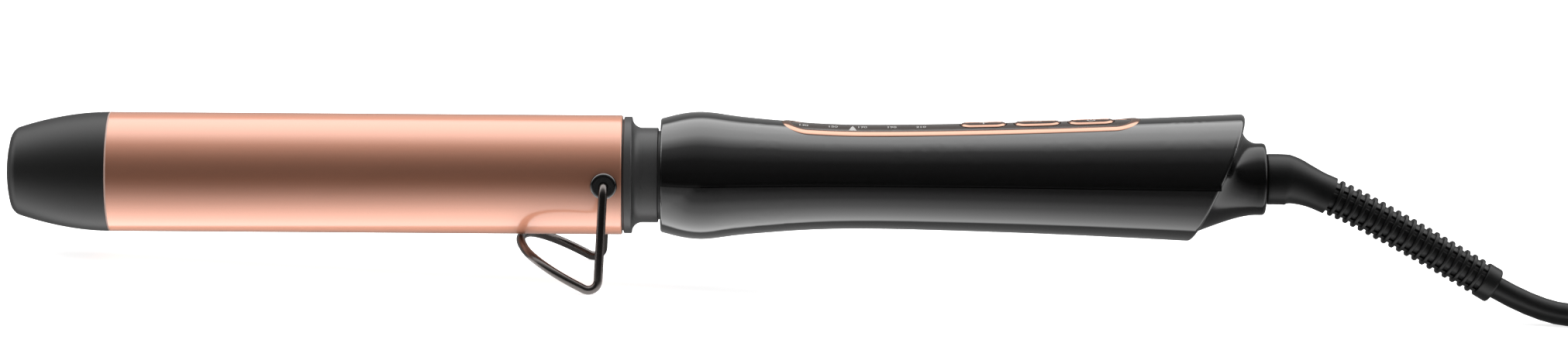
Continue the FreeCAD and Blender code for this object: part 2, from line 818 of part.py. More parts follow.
def make_button(index):
    """A dished button with a raised rim and a stem over its switch."""
    x0, x1 = button_ends(index)
    cap = skin(-BUTTON_RAISE, BUTTON_CAP_T).common(stadium(x0, x1, BUTTON_W, 0, FAR))
    inner = stadium(x0 + BUTTON_RIM, x1 - BUTTON_RIM, BUTTON_W - 2 * BUTTON_RIM, 0, FAR)
    dish = skin(-BUTTON_RAISE - OVER, BUTTON_DISH - BUTTON_RAISE).common(inner)
    stem_z = SWITCH_TOP + BUTTON_TRAVEL + STEM_GAP
    middle = (x0 + x1) / 2
    stem_top = handle_radius(middle) - BUTTON_CAP_T + STEM_LAP
    stem = rod_z(BUTTON_STEM_R, stem_z, stem_top, middle)
    return cap.cut(dish).fuse(stem).removeSplitter()


def make_board():
    """The control board, screwed to the upper shell's posts."""
    board = box(BOARD_X, BOARD_END_X, -BOARD_HALF, BOARD_HALF, BOARD_Z, BOARD_TOP)
    for x, y in post_places():
        board = board.cut(rod_z(SCREW_R, BOARD_Z, BOARD_TOP, x, y))
    return board


def make_board_screws():
    """Four small screws under the board."""
    screws = []
    for x, y in post_places():
        shank = rod_z(SCREW_R, BOARD_Z, BOARD_TOP + SCREW_REACH, x, y)
        head = rod_z(SCREW_HEAD_R, BOARD_Z - SCREW_HEAD_T, BOARD_Z, x, y)
        screws.append(shank.fuse(head).removeSplitter())
    return Part.makeCompound(screws)


def make_switches():
    """Three tact switches under the buttons."""
    half = SWITCH_W / 2
    centres = [BUTTON_X + BUTTON_PITCH * index for index in range(BUTTON_COUNT)]
    return Part.makeCompound([box(x - half, x + half, -half, half, BOARD_TOP, SWITCH_TOP) for x in centres])


def make_leds():
    """Five indicator lamps in a row under the panel."""
    half = LED_W / 2
    centres = [LED_X + LED_PITCH * index for index in range(LED_COUNT)]
    top = BOARD_TOP + LED_H
    return Part.makeCompound([box(x - half, x + half, -half, half, BOARD_TOP, top) for x in centres])


def hung_part(size, x0):
    """A block-shaped component under the board."""
    length, width, height = size
    return box(x0, x0 + length, -width / 2, width / 2, BOARD_Z - height, BOARD_Z)


# Head socket
def make_socket():
    """The cup that takes the head's plug, with holes for its pins."""
    cup = rod_x(SOCKET_OUT_R, FRONT_WALL, CONTACT_X).cut(rod_x(SOCKET_R, 0, SOCKET_END_X))
    for y, z in pin_places():
        cup = cup.cut(rod_x(PIN_R + SOCKET_CLEARANCE, 0, FAR, y, z))
    return cup


def make_socket_contacts():
    """Four sleeves that take the pins, with tails to the board."""
    contacts = []
    outer = PIN_R + PIN_CLEARANCE + CONTACT_WALL
    end_x = CONTACT_X + CONTACT_LEN
    for y, z in pin_places():
        tail_x = end_x if z > 0 else end_x + CONTACT_STAGGER
        tail = box(tail_x, tail_x + CONTACT_WALL, y - outer, y + outer, z - outer, BOARD_Z)
        sleeve = rod_x(outer, CONTACT_X, tail_x, y, z)
        contact = sleeve.fuse(tail).cut(rod_x(PIN_R + PIN_CLEARANCE, CONTACT_X, end_x - CONTACT_WALL, y, z))
        contacts.append(contact.removeSplitter())
    return Part.makeCompound(contacts)


# Rear cap and swivel
def tilted_ring(radius, x, degrees):
    """A circle that leans with the slant, stretched to keep its width."""
    curve = Part.Circle(ORIGIN, Z_AXIS, radius)
    if degrees:
        curve = Part.Ellipse(ORIGIN, radius / math.cos(math.radians(degrees)), radius)
    wire = Part.Wire(curve.toShape())
    wire.rotate(ORIGIN, Y_AXIS, -90)
    wire.rotate(ORIGIN, Y_AXIS, degrees)
    wire.translate(V(x, 0, 0))
    return wire


def make_rear_cap():
    """The sheared trumpet that closes the handle and carries the cord's swivel."""
    rim_r = handle_radius(SLANT_X) - WALL - CAP_STEP
    rings = []
    for share in (0.0, 0.3, 0.55, 0.8, 1.0):
        radius = COLLAR_R + (rim_r - COLLAR_R) * (1 - share) ** FLARE_POWER
        rings.append(tilted_ring(radius, SLANT_X + COLLAR_REACH * share, SLANT_DEG * (1 - share)))
    flare = Part.makeLoft(rings, True, False)
    collar = rod_x(COLLAR_R, COLLAR_X, COLLAR_END_X)
    collar = collar.makeFillet(COLLAR_EDGE_R, end_rim(collar, COLLAR_END_X))
    plate = handle_form(WALL + CAP_GAP).cut(behind_slant(0)).common(behind_slant(-CAP_RING))
    cap = plate.fuse(flare).fuse(collar)
    cap = cap.cut(rod_x(SWIVEL_R + SWIVEL_CLEARANCE, 0, LONG))
    pocket = rod_x(SPOOL_FLANGE_R + SPOOL_POCKET_GAP, SLANT_X - FAR, SPOOL_WALL_X)
    return cap.cut(pocket)


def make_spool():
    """The turning core of the swivel: hub, flange, shaft and a stub in the boot."""
    hub = rod_x(HUB_R, HUB_X, SPOOL_FLANGE_X)
    flange = rod_x(SPOOL_FLANGE_R, SPOOL_FLANGE_X, SPOOL_FLANGE_X + SPOOL_FLANGE_T)
    shaft = rod_x(SWIVEL_R, SPOOL_FLANGE_X, BOOT_X)
    stub = rod_x(STUB_R, COLLAR_END_X, BOOT_X + STUB_LEN)
    return hub.fuse([flange, shaft, stub]).removeSplitter()


def ring_places():
    """Where the two contact rings start along the hub."""
    first = HUB_X + RING_IN
    return [first, first + RING_PITCH]


def make_swivel_rings():
    """Two brass rings on the spool's hub."""
    rings = [rod_x(RING_R, x, x + RING_T).cut(rod_x(HUB_R, x, x + RING_T)) for x in ring_places()]
    return Part.makeCompound(rings)


def make_brushes():
    """Two leaf brushes over the contact rings."""
    blades = []
    for x in ring_places():
        x0 = x + (RING_T - BRUSH_W) / 2
        blades.append(box(x0, x0 + BRUSH_W, -BRUSH_LEN / 2, BRUSH_LEN / 2, BRUSH_Z, BRUSH_Z + BRUSH_T))
    return Part.makeCompound(blades)


def make_brush_holder():
    """The block above the rings that holds the brushes."""
    low = BRUSH_Z + BRUSH_T
    block = box(HUB_X, HUB_X + HOLDER_LEN, -HOLDER_W / 2, HOLDER_W / 2, low, low + HOLDER_H)
    return block.cut(behind_slant(-CAP_RING - HOLDER_GAP))


def make_supply_leads():
    """Two leads from the brush holder to the board."""
    z = BOARD_TOP + SUPPLY_R + FIT_GAP
    leads = [rod_x(SUPPLY_R, BOARD_END_X - SUPPLY_LAP, HUB_X, y, z) for y in (-SUPPLY_Y, SUPPLY_Y)]
    return Part.makeCompound(leads)


# Angled boot with its ribbed relief
def relief_direction():
    """The way the relief points."""
    lean = math.radians(BOOT_BEND_DEG)
    return V(math.cos(lean), 0, -math.sin(lean))


def relief_start():
    """Where the ribs begin, on the boot's middle line."""
    return V(BOOT_BEND_X, 0, 0) + relief_direction() * SLEEVE_LEN


def relief_length():
    """The length of the ribbed part with its end cap."""
    return RIB_COUNT * RIB_PITCH + RELIEF_CAP_LEN


def relief_end():
    """Where the cord leaves the boot."""
    return relief_start() + relief_direction() * relief_length()


def make_relief():
    """The ribs, core and spines along X from the origin, then turned into place."""
    step = (RIB_R - RIB_END_R) / RIB_COUNT
    corners = [(0, 0), (0, CORE_R)]
    for index in range(RIB_COUNT):
        x0 = RIB_PITCH * (index + 1) - RIB_W
        radius = RIB_R - step * index
        corners += [(x0, CORE_R), (x0, radius), (x0 + RIB_W, radius), (x0 + RIB_W, CORE_R)]
    cap_x = RIB_COUNT * RIB_PITCH
    corners.pop()
    corners.pop()
    corners += [(cap_x + RELIEF_CAP_LEN, RIB_END_R), (cap_x + RELIEF_CAP_LEN, 0)]
    relief = spun_outline(corners)
    for index in range(SPINE_COUNT):
        spine = box(0, cap_x, -SPINE_W / 2, SPINE_W / 2, 0, SPINE_R)
        spine.rotate(ORIGIN, X_AXIS, 360 / SPINE_COUNT * (index + 0.5))
        relief = relief.fuse(spine)
    relief.rotate(ORIGIN, Y_AXIS, BOOT_BEND_DEG)
    relief.translate(relief_start())
    return relief


def make_boot():
    """The angled boot: a root in line with the swivel, an elbow and the ribbed relief."""
    reach = BOOT_BEND_R * math.tan(math.radians(BOOT_BEND_DEG) / 2)
    bend_x = BOOT_BEND_X - reach
    root = rod_x(BOOT_R, BOOT_X, bend_x)
    root = root.makeFillet(BOOT_EDGE_R, end_rim(root, BOOT_X))
    rings = []
    for share in (0.0, 0.2, 0.5, 0.75, 1.0):
        turn = math.radians(BOOT_BEND_DEG) * share
        centre = V(bend_x + BOOT_BEND_R * math.sin(turn), 0, -BOOT_BEND_R * (1 - math.cos(turn)))
        along = V(math.cos(turn), 0, -math.sin(turn))
        taper = ELBOW_TAPER * share ** ELBOW_POWER
        rings.append(ring_wire(BOOT_R - (BOOT_R - SLEEVE_R) * taper, centre, along))
    rings.append(ring_wire(SLEEVE_R, relief_start(), relief_direction()))
    elbow = Part.makeLoft(rings, True, False)
    boot = root.fuse(elbow).fuse(make_relief())
    return boot.cut(make_spool()).removeSplitter()


# Stance: nose a little down on the stand's feet, with the tail borne by the cord
def stance_turn(shape):
    """Turn a shape into the stance, about the handle's front face."""
    shape.rotate(ORIGIN, Y_AXIS, -STANCE_DEG)
    return shape


def turned(vector):
    """A direction or place turned into the stance."""
    return FreeCAD.Rotation(Y_AXIS, -STANCE_DEG).multVec(vector)


# Cord, coil, tie and plug, which lie on the ground in the stance
def coil_point(turn, centre):
    """A place on the coil's middle line after an angle of winding."""
    layer_turn = TURNS_PER_LAYER * 2 * math.pi
    layer = min(int(turn / layer_turn), LAYERS - 1)
    into = turn - layer * layer_turn
    inward = into if layer % 2 == 0 else layer_turn - into
    radius = LOOP_R - LOOP_PITCH * inward / (2 * math.pi)
    height = CORD_R + LAYER_LIFT
    for step in range(1, LAYERS):
        height += LOOP_PITCH * ease((turn - step * layer_turn) / math.pi + 0.5)
    angle = math.radians(COIL_START_DEG) + turn
    return centre + V(radius * math.cos(angle), radius * math.sin(angle), height)


def coil_heading(centre):
    """The level direction in which the cord enters the coil."""
    way = coil_point(1e-4, centre) - coil_point(0, centre)
    return V(way.x, way.y, 0).normalize()


def direction_of(curve, place):
    """The unit direction of a curve at a place."""
    step = 1e-4
    return (curve(place + step) - curve(place - step)).normalize()


def lead_out_point(angle, start, heading):
    """A place on the curl from the top layer to the plug."""
    aside = V(-math.sin(heading), math.cos(heading), 0)
    middle = start + aside * LEAD_OUT_R
    rise = plug_height() - (COIL_TOP - CORD_R)
    lift = rise * ease(angle / math.radians(LEAD_CLIMB_DEG))
    out = V(math.sin(heading + angle), -math.cos(heading + angle), 0) * LEAD_OUT_R
    place = middle + out
    return V(place.x, place.y, start.z + lift)


def plug_height():
    """The plug's middle height, lying on the top layer."""
    return COIL_TOP + PLUG_BODY_H / 2 + PLUG_GAP


def least_gap(points, diameter):
    """The least gap between stretches of a line that lie apart along it."""
    away = int(4 * diameter / (points[1] - points[0]).Length)
    return min((a - b).Length for i, a in enumerate(points) for b in points[i + away:]) - diameter


def make_coil(centre):
    """The coil with its curl to the plug; gives the solid, its length, end and heading."""
    whole = LAYERS * TURNS_PER_LAYER * 2 * math.pi - math.radians(COIL_TRIM_DEG)

    def wound(turn):
        return coil_point(turn, centre)

    count = math.ceil(whole / (math.pi / 2))
    turns = [whole * i / count for i in range(count + 1)]
    knots = [wound(t) for t in turns]
    headings = [direction_of(wound, t) for t in turns]
    headings[0] = coil_heading(centre)
    last = V(headings[-1].x, headings[-1].y, 0).normalize()
    headings[-1] = last
    heading = math.atan2(last.y, last.x)
    start = knots[-1]

    def curled(angle):
        return lead_out_point(angle, start, heading)

    sweep = math.radians(LEAD_OUT_DEG)
    for i in range(1, LEAD_BENDS + 1):
        angle = sweep * i / LEAD_BENDS
        knots.append(curled(angle))
        headings.append(direction_of(curled, angle))
    edges = []
    for a, da, b, db in zip(knots, headings, knots[1:], headings[1:]):
        edges += biarc(a, da, b, db)
    end = knots[-1] + headings[-1] * (2 * CORD_R)
    edges.append(line(knots[-1], end))
    path = Part.Wire(Part.__sortEdges__(edges))
    dense = [wound(whole * i / GAP_SAMPLES) for i in range(GAP_SAMPLES)]
    step = (dense[1] - dense[0]).Length / LEAD_OUT_R
    dense += [curled(step * i) for i in range(int(sweep / step))]
    print("coil least gap to itself", round(least_gap(dense, 2 * CORD_R), 3))
    return swept(path, CORD_R, knots[0], headings[0]), path.Length, end, headings[-1]


def make_tie(centre):
    """A strap round the coil's turns."""
    into = (math.radians(TIE_DEG - COIL_START_DEG)) % (2 * math.pi)
    inner = LOOP_R - LOOP_PITCH * (into / (2 * math.pi) + TURNS_PER_LAYER - 1) - CORD_R - TIE_SLACK
    outer = LOOP_R - LOOP_PITCH * (1 - into / (2 * math.pi)) + CORD_R + TIE_SLACK
    low = LAYER_LIFT - TIE_LIFT
    high = COIL_TOP + TIE_LIFT
    band = box(inner - TIE_T, outer + TIE_T, -TIE_W / 2, TIE_W / 2, low - TIE_T, high + TIE_T)
    band = band.cut(box(inner, outer, -TIE_W, TIE_W, low, high))
    band.rotate(ORIGIN, Z_AXIS, TIE_DEG)
    band.translate(centre)
    return band


def make_plug_body():
    """A flat two-pin plug along X from its cord's end, with a tapered tail."""
    half = PLUG_BODY_W / 2
    shoulder = PLUG_SHOULDER_W / 2
    body_x = PLUG_TAIL_LEN
    end_x = PLUG_TAIL_LEN + PLUG_BODY_LEN
    outline = [
        V(body_x, -shoulder, 0),
        V(body_x + PLUG_TAPER_LEN, -half, 0),
        V(end_x, -half, 0),
        V(end_x, half, 0),
        V(body_x + PLUG_TAPER_LEN, half, 0),
        V(body_x, shoulder, 0),
    ]
    face = Part.Face(Part.makePolygon(outline + outline[:1]))
    slab = face.extrude(V(0, 0, PLUG_BODY_H))
    slab.translate(V(0, 0, -PLUG_BODY_H / 2))
    slab = slab.makeFillet(PLUG_EDGE_R, slab.Edges)
    tail = spun_outline(
        [
            (0, 0),
            (0, CORD_R + PLUG_TAIL_WALL),
            (PLUG_TAIL_LEN + PLUG_TAIL_LAP, PLUG_TAIL_R),
            (PLUG_TAIL_LEN + PLUG_TAIL_LAP, 0),
        ]
    )
    return slab.fuse(tail)


def make_prongs():
    """Two round pins with rounded tips, on the plug's face."""
    pins = []
    face_x = PLUG_TAIL_LEN + PLUG_BODY_LEN
    tip_x = face_x + PRONG_LEN
    for y in (-PRONG_SPACING / 2, PRONG_SPACING / 2):
        pin = rod_x(PRONG_R, face_x, tip_x, y)
        pins.append(pin.makeFillet(PRONG_TIP_R, end_rim(pin, tip_x)))
    return Part.makeCompound(pins)


def make_object():
    """All pieces of the styler itself, along the X axis."""
    body = make_shell_body()
    made = {
        "cool_tip": make_cool_tip(),
        "tip_insulator": make_tip_insulator(),
        "barrel_tube": make_barrel_tube(),
        "heat_spreader_upper": make_heat_spreader(1),
        "heat_spreader_lower": make_heat_spreader(-1),
        "ptc_heater": make_heater(),
        "thermal_fuse": make_thermal_fuse(),
        "thermistor": make_thermistor(),
        "heater_leads": make_heater_leads(),
        "barrel_collar": make_barrel_collar(),
        "contact_block": make_contact_block(),
        "contact_pins": make_contact_pins(),
        "stand_bush_near": make_stand_bush(-1),
        "stand_bush_far": make_stand_bush(1),
        "stand_wire": make_stand_wire(),
        "stand_clips": make_stand_clips(),
        "handle_upper_shell": make_upper_shell(body),
        "handle_lower_shell": make_lower_shell(body),
        "panel_bezel": make_bezel(),
        "control_panel": make_panel(),
        "plus_button": make_button(0),
        "minus_button": make_button(1),
        "power_button": make_button(2),
        "control_board": make_board(),
        "board_screws": make_board_screws(),
        "tact_switches": make_switches(),
        "indicator_leds": make_leds(),
        "filter_capacitor": hung_part(CAPACITOR, BOARD_X + CAPACITOR_IN),
        "power_triac": hung_part(TRIAC, BOARD_END_X - TRIAC_REAR_IN),
        "microcontroller": hung_part(CHIP, BOARD_END_X - CHIP_REAR_IN),
        "head_socket": make_socket(),
        "socket_contacts": make_socket_contacts(),
        "rear_cap": make_rear_cap(),
        "swivel_brushes": make_brushes(),
        "brush_holder": make_brush_holder(),
        "supply_leads": make_supply_leads(),
        "swivel_spool": make_spool(),
        "swivel_rings": make_swivel_rings(),
        "cord_boot": make_boot(),
    }
    return {name: stance_turn(shape) for name, shape in made.items()}


def main():
    """Build every piece, stand the styler up, lay its cord and write the pieces out."""
    made = make_object()
    whole = Part.makeCompound(list(made.values())).optimalBoundingBox()
    shift = V(-(whole.XMin + whole.XMax) / 2, 0, -whole.ZMin)
    for shape in made.values():
        shape.translate(shift)

    exit_point = turned(relief_end()) + shift
    exit_way = turned(relief_direction())
    land = exit_point + exit_way * ((exit_point.z - CORD_R) / -exit_way.z)
    centre = land + COIL_PLACE
    centre.z = 0
    coil, coil_length, plug_end, plug_way = make_coil(centre)
    coil_start = coil_point(0, centre)
    turn_b = coil_start - coil_heading(centre) * CORD_RUN
    route = [exit_point, land, land + CORD_TURN, turn_b, coil_start]
    radii = route_radii(route)
    path = rounded_path(route, radii)
    made["mains_cord"] = swept(path, CORD_R, route[0], exit_way)
    made["cord_coil"] = coil
    made["cord_tie"] = make_tie(centre)
    plug_turn = math.degrees(math.atan2(plug_way.y, plug_way.x))
    for name, shape in (("plug_body", make_plug_body()), ("plug_pins", make_prongs())):
        shape.rotate(ORIGIN, Z_AXIS, plug_turn)
        shape.translate(plug_end)
        made[name] = shape

    print("route", [[round(c, 2) for c in p] for p in route])
    print("route radii", [round(r, 1) for r in radii])
    print("coil centre", [round(c, 3) for c in centre])
    print("plug end", [round(c, 3) for c in plug_end], "turn", round(plug_turn, 4))
    area = math.pi * CORD_R**2
    print("cord length", round(path.Length, 1), "coil length", round(coil_length, 1))
    print("cord volume share", round(made["mains_cord"].Volume / (area * path.Length), 4))
    print("coil volume share", round(coil.Volume / (area * coil_length), 4))
    print("shift", [round(c, 4) for c in shift])

    os.makedirs("parts", exist_ok=True)
    for name, shape in made.items():
        if not shape.isValid():
            print("not valid:", name)
        shape.exportStep("parts/" + name + ".step")


main()
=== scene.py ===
"""Looks of a plug-in curling-wand styler on a wire stand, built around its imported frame.

Metres throughout. The tool frame runs along the styler: x = 0 is the handle's front face, the cool tip
points to -x, the cord leaves at +x and the panel faces +z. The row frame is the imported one, in which the
styler stands a little nose down on its stand.
"""

import bisect
import json
import logging
import math
from collections.abc import Callable, Iterable
from dataclasses import dataclass, field
from enum import Enum

import bmesh
import bpy
from mathutils import Matrix, Vector

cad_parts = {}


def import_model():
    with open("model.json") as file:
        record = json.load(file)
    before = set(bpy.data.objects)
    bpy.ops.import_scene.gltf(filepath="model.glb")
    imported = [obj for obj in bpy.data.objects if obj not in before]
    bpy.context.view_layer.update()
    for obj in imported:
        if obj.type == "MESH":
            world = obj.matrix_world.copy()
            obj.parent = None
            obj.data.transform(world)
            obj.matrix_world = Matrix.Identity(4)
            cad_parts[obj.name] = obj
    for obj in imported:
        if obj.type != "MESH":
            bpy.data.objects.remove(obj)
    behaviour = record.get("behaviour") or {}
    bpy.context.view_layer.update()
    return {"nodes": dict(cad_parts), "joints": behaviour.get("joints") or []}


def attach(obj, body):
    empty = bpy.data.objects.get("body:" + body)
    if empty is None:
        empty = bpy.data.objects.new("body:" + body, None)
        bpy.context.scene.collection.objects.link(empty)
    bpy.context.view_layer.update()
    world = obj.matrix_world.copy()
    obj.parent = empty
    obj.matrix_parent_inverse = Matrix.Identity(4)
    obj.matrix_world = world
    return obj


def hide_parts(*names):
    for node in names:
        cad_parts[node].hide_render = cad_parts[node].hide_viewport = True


LOG = logging.getLogger("styler")
Colour = tuple[float, float, float]
Point = tuple[float, float]
Stops = tuple[Point, ...]


class Body(Enum):
    """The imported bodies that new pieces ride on."""

    HANDLE = "handle"
    HEAD = "head"
    MINUS = "minus_body"
    PLUS = "plus_body"
    POWER = "power_body"
    CORD = "cord"


class Grain(Enum):
    """The surface effects that finishes share."""

    MOULDED = "moulded_grain"
    BRUSHED = "brushed_grain"
    WOVEN = "woven_strap"


@dataclass(frozen=True)
class Finish:
    """One surface finish: two tones, a roughness range and the grain that mixes them."""

    name: str
    slot: str
    colour: Colour
    second: Colour
    roughness: tuple[float, float]
    metallic: float = 0.0
    ior: float = 1.5
    coat: float = 0.0
    coat_roughness: float = 0.05
    coat_ior: float = 1.5
    grain: Grain = Grain.MOULDED
    scale: float = 400.0
    bump: float = 0.1
    depth: float = 0.00005


BARREL_ROSE = Finish(
    "barrel_rose_gold", "barrel_rose_gold", (0.66, 0.31, 0.2), (0.745, 0.362, 0.237), (0.6, 0.7),
    metallic=1.0, coat=1.0, coat_ior=1.9, coat_roughness=0.16, grain=Grain.BRUSHED, scale=2600.0, bump=0.18,
    depth=0.00003,
)
TRIM_ROSE = Finish(
    "trim_rose_gold", "trim_rose_gold", (0.46, 0.265, 0.195), (0.52, 0.305, 0.225), (0.12, 0.2),
    metallic=1.0, scale=900.0, bump=0.03, depth=0.00002,
)
# Painted highlight: a pale, non-metal tone for the thin ring at the barrel's tip, in place of the light that
# edge catches.
EDGE_PAINTED_HIGHLIGHT = Finish(
    "edge_painted_highlight", "barrel_rose_gold", (0.62, 0.43, 0.37), (0.7, 0.5, 0.43), (0.3, 0.4),
    scale=1800.0, bump=0.05, depth=0.00002,
)
TIP_CHARCOAL = Finish(
    "tip_charcoal", "tip_black", (0.008, 0.008, 0.008), (0.012, 0.012, 0.012), (0.4, 0.5),
    scale=3200.0, bump=0.25, depth=0.00004,
)
COLLAR_GREY = Finish(
    "collar_grey", "collar_grey", (0.042, 0.042, 0.0425), (0.054, 0.054, 0.0545), (0.36, 0.44),
    scale=3000.0, bump=0.2, depth=0.00003,
)
PIANO_BLACK = Finish(
    "piano_black", "handle_black", (0.0018, 0.0018, 0.0019), (0.003, 0.003, 0.0031), (0.05, 0.09),
    ior=1.55, coat=1.0, coat_roughness=0.02, scale=90.0, bump=0.015, depth=0.00002,
)
# Painted shade: a copy of the handle's piano black with a weaker coat and a lower IOR, so that the rear cap
# reflects less, as if less light reached the handle's rear.
CAP_BLACK_SHADED = Finish(
    "cap_black_shaded", "handle_black", (0.0022, 0.0022, 0.0023), (0.0036, 0.0036, 0.0037), (0.12, 0.18),
    ior=1.42, coat=0.15, coat_roughness=0.05, scale=120.0, bump=0.03, depth=0.00002,
)
SEAM_SHADOW = Finish(
    "seam_shadow", "handle_black", (0.0012, 0.0012, 0.0012), (0.002, 0.002, 0.002), (0.55, 0.7),
    ior=1.08, scale=900.0, bump=0.05, depth=0.00001,
)
SMOKED_PANEL = Finish(
    "smoked_panel", "panel_smoked", (0.036, 0.023, 0.017), (0.044, 0.029, 0.022), (0.16, 0.22),
    coat=0.5, scale=250.0, bump=0.02, depth=0.00002,
)
BUTTON_FACE = Finish(
    "button_face", "trim_rose_gold", (0.15, 0.082, 0.06), (0.18, 0.1, 0.074), (0.2, 0.28),
    metallic=1.0, scale=1500.0, bump=0.06, depth=0.00002,
)
PANEL_PRINT = Finish(
    "panel_print", "panel_smoked", (0.5, 0.49, 0.48), (0.6, 0.59, 0.58), (0.4, 0.5),
    scale=2500.0, bump=0.05, depth=0.00001,
)
STAND_WIRE = Finish(
    "stand_gunmetal", "stand_steel", (0.115, 0.102, 0.098), (0.15, 0.136, 0.13), (0.2, 0.3),
    metallic=1.0, grain=Grain.BRUSHED, scale=1800.0, bump=0.1, depth=0.00003,
)
BUSH_BLACK = Finish(
    "bush_black", "bush_black", (0.002, 0.002, 0.002), (0.0032, 0.0032, 0.0032), (0.1, 0.16),
    coat=1.0, coat_ior=1.6, coat_roughness=0.04, scale=700.0, bump=0.04, depth=0.00002,
)
BOOT_RUBBER = Finish(
    "boot_rubber", "boot_black", (0.003, 0.003, 0.0031), (0.006, 0.006, 0.0061), (0.34, 0.46), ior=1.4,
    scale=1700.0, bump=0.25, depth=0.00004,
)
CORD_RUBBER = Finish(
    "cord_rubber", "cord_black", (0.004, 0.004, 0.0041), (0.007, 0.007, 0.0071), (0.36, 0.48), ior=1.36,
    scale=900.0, bump=0.2, depth=0.00005,
)
TIE_WEBBING = Finish(
    "tie_webbing", "tie_black", (0.012, 0.012, 0.013), (0.045, 0.045, 0.047), (0.7, 0.85),
    grain=Grain.WOVEN, scale=1500.0, bump=0.6, depth=0.00012,
)
PLUG_MATT = Finish(
    "plug_matt", "plug_black", (0.011, 0.011, 0.0115), (0.018, 0.018, 0.0185), (0.4, 0.52),
    scale=1500.0, bump=0.25, depth=0.00005,
)
PIN_NICKEL = Finish(
    "pin_nickel", "pin_plated", (0.58, 0.56, 0.52), (0.66, 0.64, 0.6), (0.16, 0.26),
    metallic=1.0, grain=Grain.BRUSHED, scale=1500.0, bump=0.05, depth=0.00002,
)
INSULATOR_BROWN = Finish(
    "insulator_brown", "insulator_brown", (0.1, 0.065, 0.043), (0.14, 0.095, 0.064), (0.45, 0.6),
    scale=1200.0, bump=0.2, depth=0.00005,
)
CONTACT_BRASS = Finish(
    "contact_brass", "contact_brass", (0.7, 0.5, 0.2), (0.78, 0.58, 0.27), (0.2, 0.32),
    metallic=1.0, grain=Grain.BRUSHED, scale=1600.0, bump=0.08, depth=0.00002,
)
HEAT_ALUMINIUM = Finish(
    "heat_aluminium", "heat_aluminium", (0.62, 0.62, 0.63), (0.7, 0.7, 0.71), (0.3, 0.44),
    metallic=1.0, grain=Grain.BRUSHED, scale=900.0, bump=0.15, depth=0.00004,
)
HEATER_CERAMIC = Finish(
    "heater_ceramic", "heater_ceramic", (0.7, 0.66, 0.57), (0.78, 0.75, 0.67), (0.25, 0.4),
    scale=700.0, bump=0.12, depth=0.00005,
)
BOARD_MASK = Finish(
    "board_mask", "board_green", (0.012, 0.09, 0.035), (0.018, 0.125, 0.05), (0.25, 0.38),
    coat=0.4, scale=600.0, bump=0.08, depth=0.00003,
)
CHIP_MOULD = Finish(
    "chip_mould", "component_black", (0.014, 0.014, 0.014), (0.022, 0.022, 0.022), (0.5, 0.62),
    scale=2200.0, bump=0.2, depth=0.00003,
)
LAMP_LENS = Finish(
    "lamp_lens", "lamp_white", (0.66, 0.66, 0.62), (0.76, 0.76, 0.72), (0.14, 0.24),
    scale=900.0, bump=0.05, depth=0.00002,
)
LEAD_SLEEVE = Finish(
    "lead_sleeve", "lead_insulation", (0.55, 0.52, 0.47), (0.64, 0.61, 0.56), (0.5, 0.64),
    scale=1300.0, bump=0.2, depth=0.00004,
)
SCREW_ZINC = Finish(
    "screw_zinc", "screw_steel", (0.48, 0.48, 0.49), (0.58, 0.58, 0.6), (0.24, 0.36),
    metallic=1.0, grain=Grain.BRUSHED, scale=1800.0, bump=0.1, depth=0.00002,
)

KEPT_NODES: dict[Finish, tuple[str, ...]] = {
    COLLAR_GREY: ("barrel_collar",),
    BUSH_BLACK: ("stand_bush_near", "stand_bush_far"),
    STAND_WIRE: ("stand_wire",),
    PIANO_BLACK: ("handle_upper_shell", "handle_lower_shell"),
    SMOKED_PANEL: ("control_panel",),
    CAP_BLACK_SHADED: ("rear_cap",),
    PLUG_MATT: ("plug_body",),
    PIN_NICKEL: ("plug_pins",),
    HEAT_ALUMINIUM: ("heat_spreader_upper", "heat_spreader_lower"),
    HEATER_CERAMIC: ("ptc_heater", "thermistor"),
    INSULATOR_BROWN: ("tip_insulator", "contact_block", "head_socket", "brush_holder", "swivel_spool"),
    CONTACT_BRASS: ("thermal_fuse", "contact_pins", "socket_contacts", "swivel_brushes", "swivel_rings"),
    LEAD_SLEEVE: ("heater_leads", "supply_leads"),
    SCREW_ZINC: ("stand_clips", "board_screws"),
    BOARD_MASK: ("control_board",),
    CHIP_MOULD: ("tact_switches", "filter_capacitor", "power_triac", "microcontroller"),
    LAMP_LENS: ("indicator_leds",),
}


class NodePen:
    """Adds nodes to one node tree and joins them."""

    def __init__(self, tree: bpy.types.NodeTree) -> None:
        """Start on a tree.

        Args:
            tree: The node tree of a material, world or group.
        """
        self.tree = tree

    def add(self, kind: str, **settings: object) -> bpy.types.Node:
        """Add a node.

        Args:
            kind: The node's type name without the ShaderNode prefix, or a NodeGroup name in full.
            **settings: Attributes of the node, such as operation.

        Returns:
            The new node.
        """
        node = self.tree.nodes.new(kind if kind.startswith("NodeGroup") else "ShaderNode" + kind)
        for name, value in settings.items():
            setattr(node, name, value)
        return node

    def join(self, source: bpy.types.NodeSocket, target: bpy.types.NodeSocket) -> None:
        """Link an output to an input."""
        self.tree.links.new(source, target)

    def math(self, operation: str, first: object, second: object = 0.0) -> bpy.types.NodeSocket:
        """Add a Math node.

        Args:
            operation: The node's operation.
            first: A number, or the output that feeds the first input.
            second: A number, or the output that feeds the second input.

        Returns:
            The node's output.
        """
        node = self.add("Math", operation=operation)
        for socket, value in zip(node.inputs, (first, second)):
            if isinstance(value, bpy.types.NodeSocket):
                self.join(value, socket)
            else:
                socket.default_value = value
        return node.outputs[0]

    def blend(self, share: bpy.types.NodeSocket, first: bpy.types.NodeSocket,
              second: bpy.types.NodeSocket) -> bpy.types.NodeSocket:
        """Add a Mix Shader.

        Args:
            share: The second shader's share.
            first: The shader shown at a share of 0.
            second: The shader shown at a share of 1.

        Returns:
            The mixed shader.
        """
        node = self.add("MixShader")
        for socket, source in zip(node.inputs, (share, first, second)):
            self.join(source, socket)
        return node.outputs["Shader"]


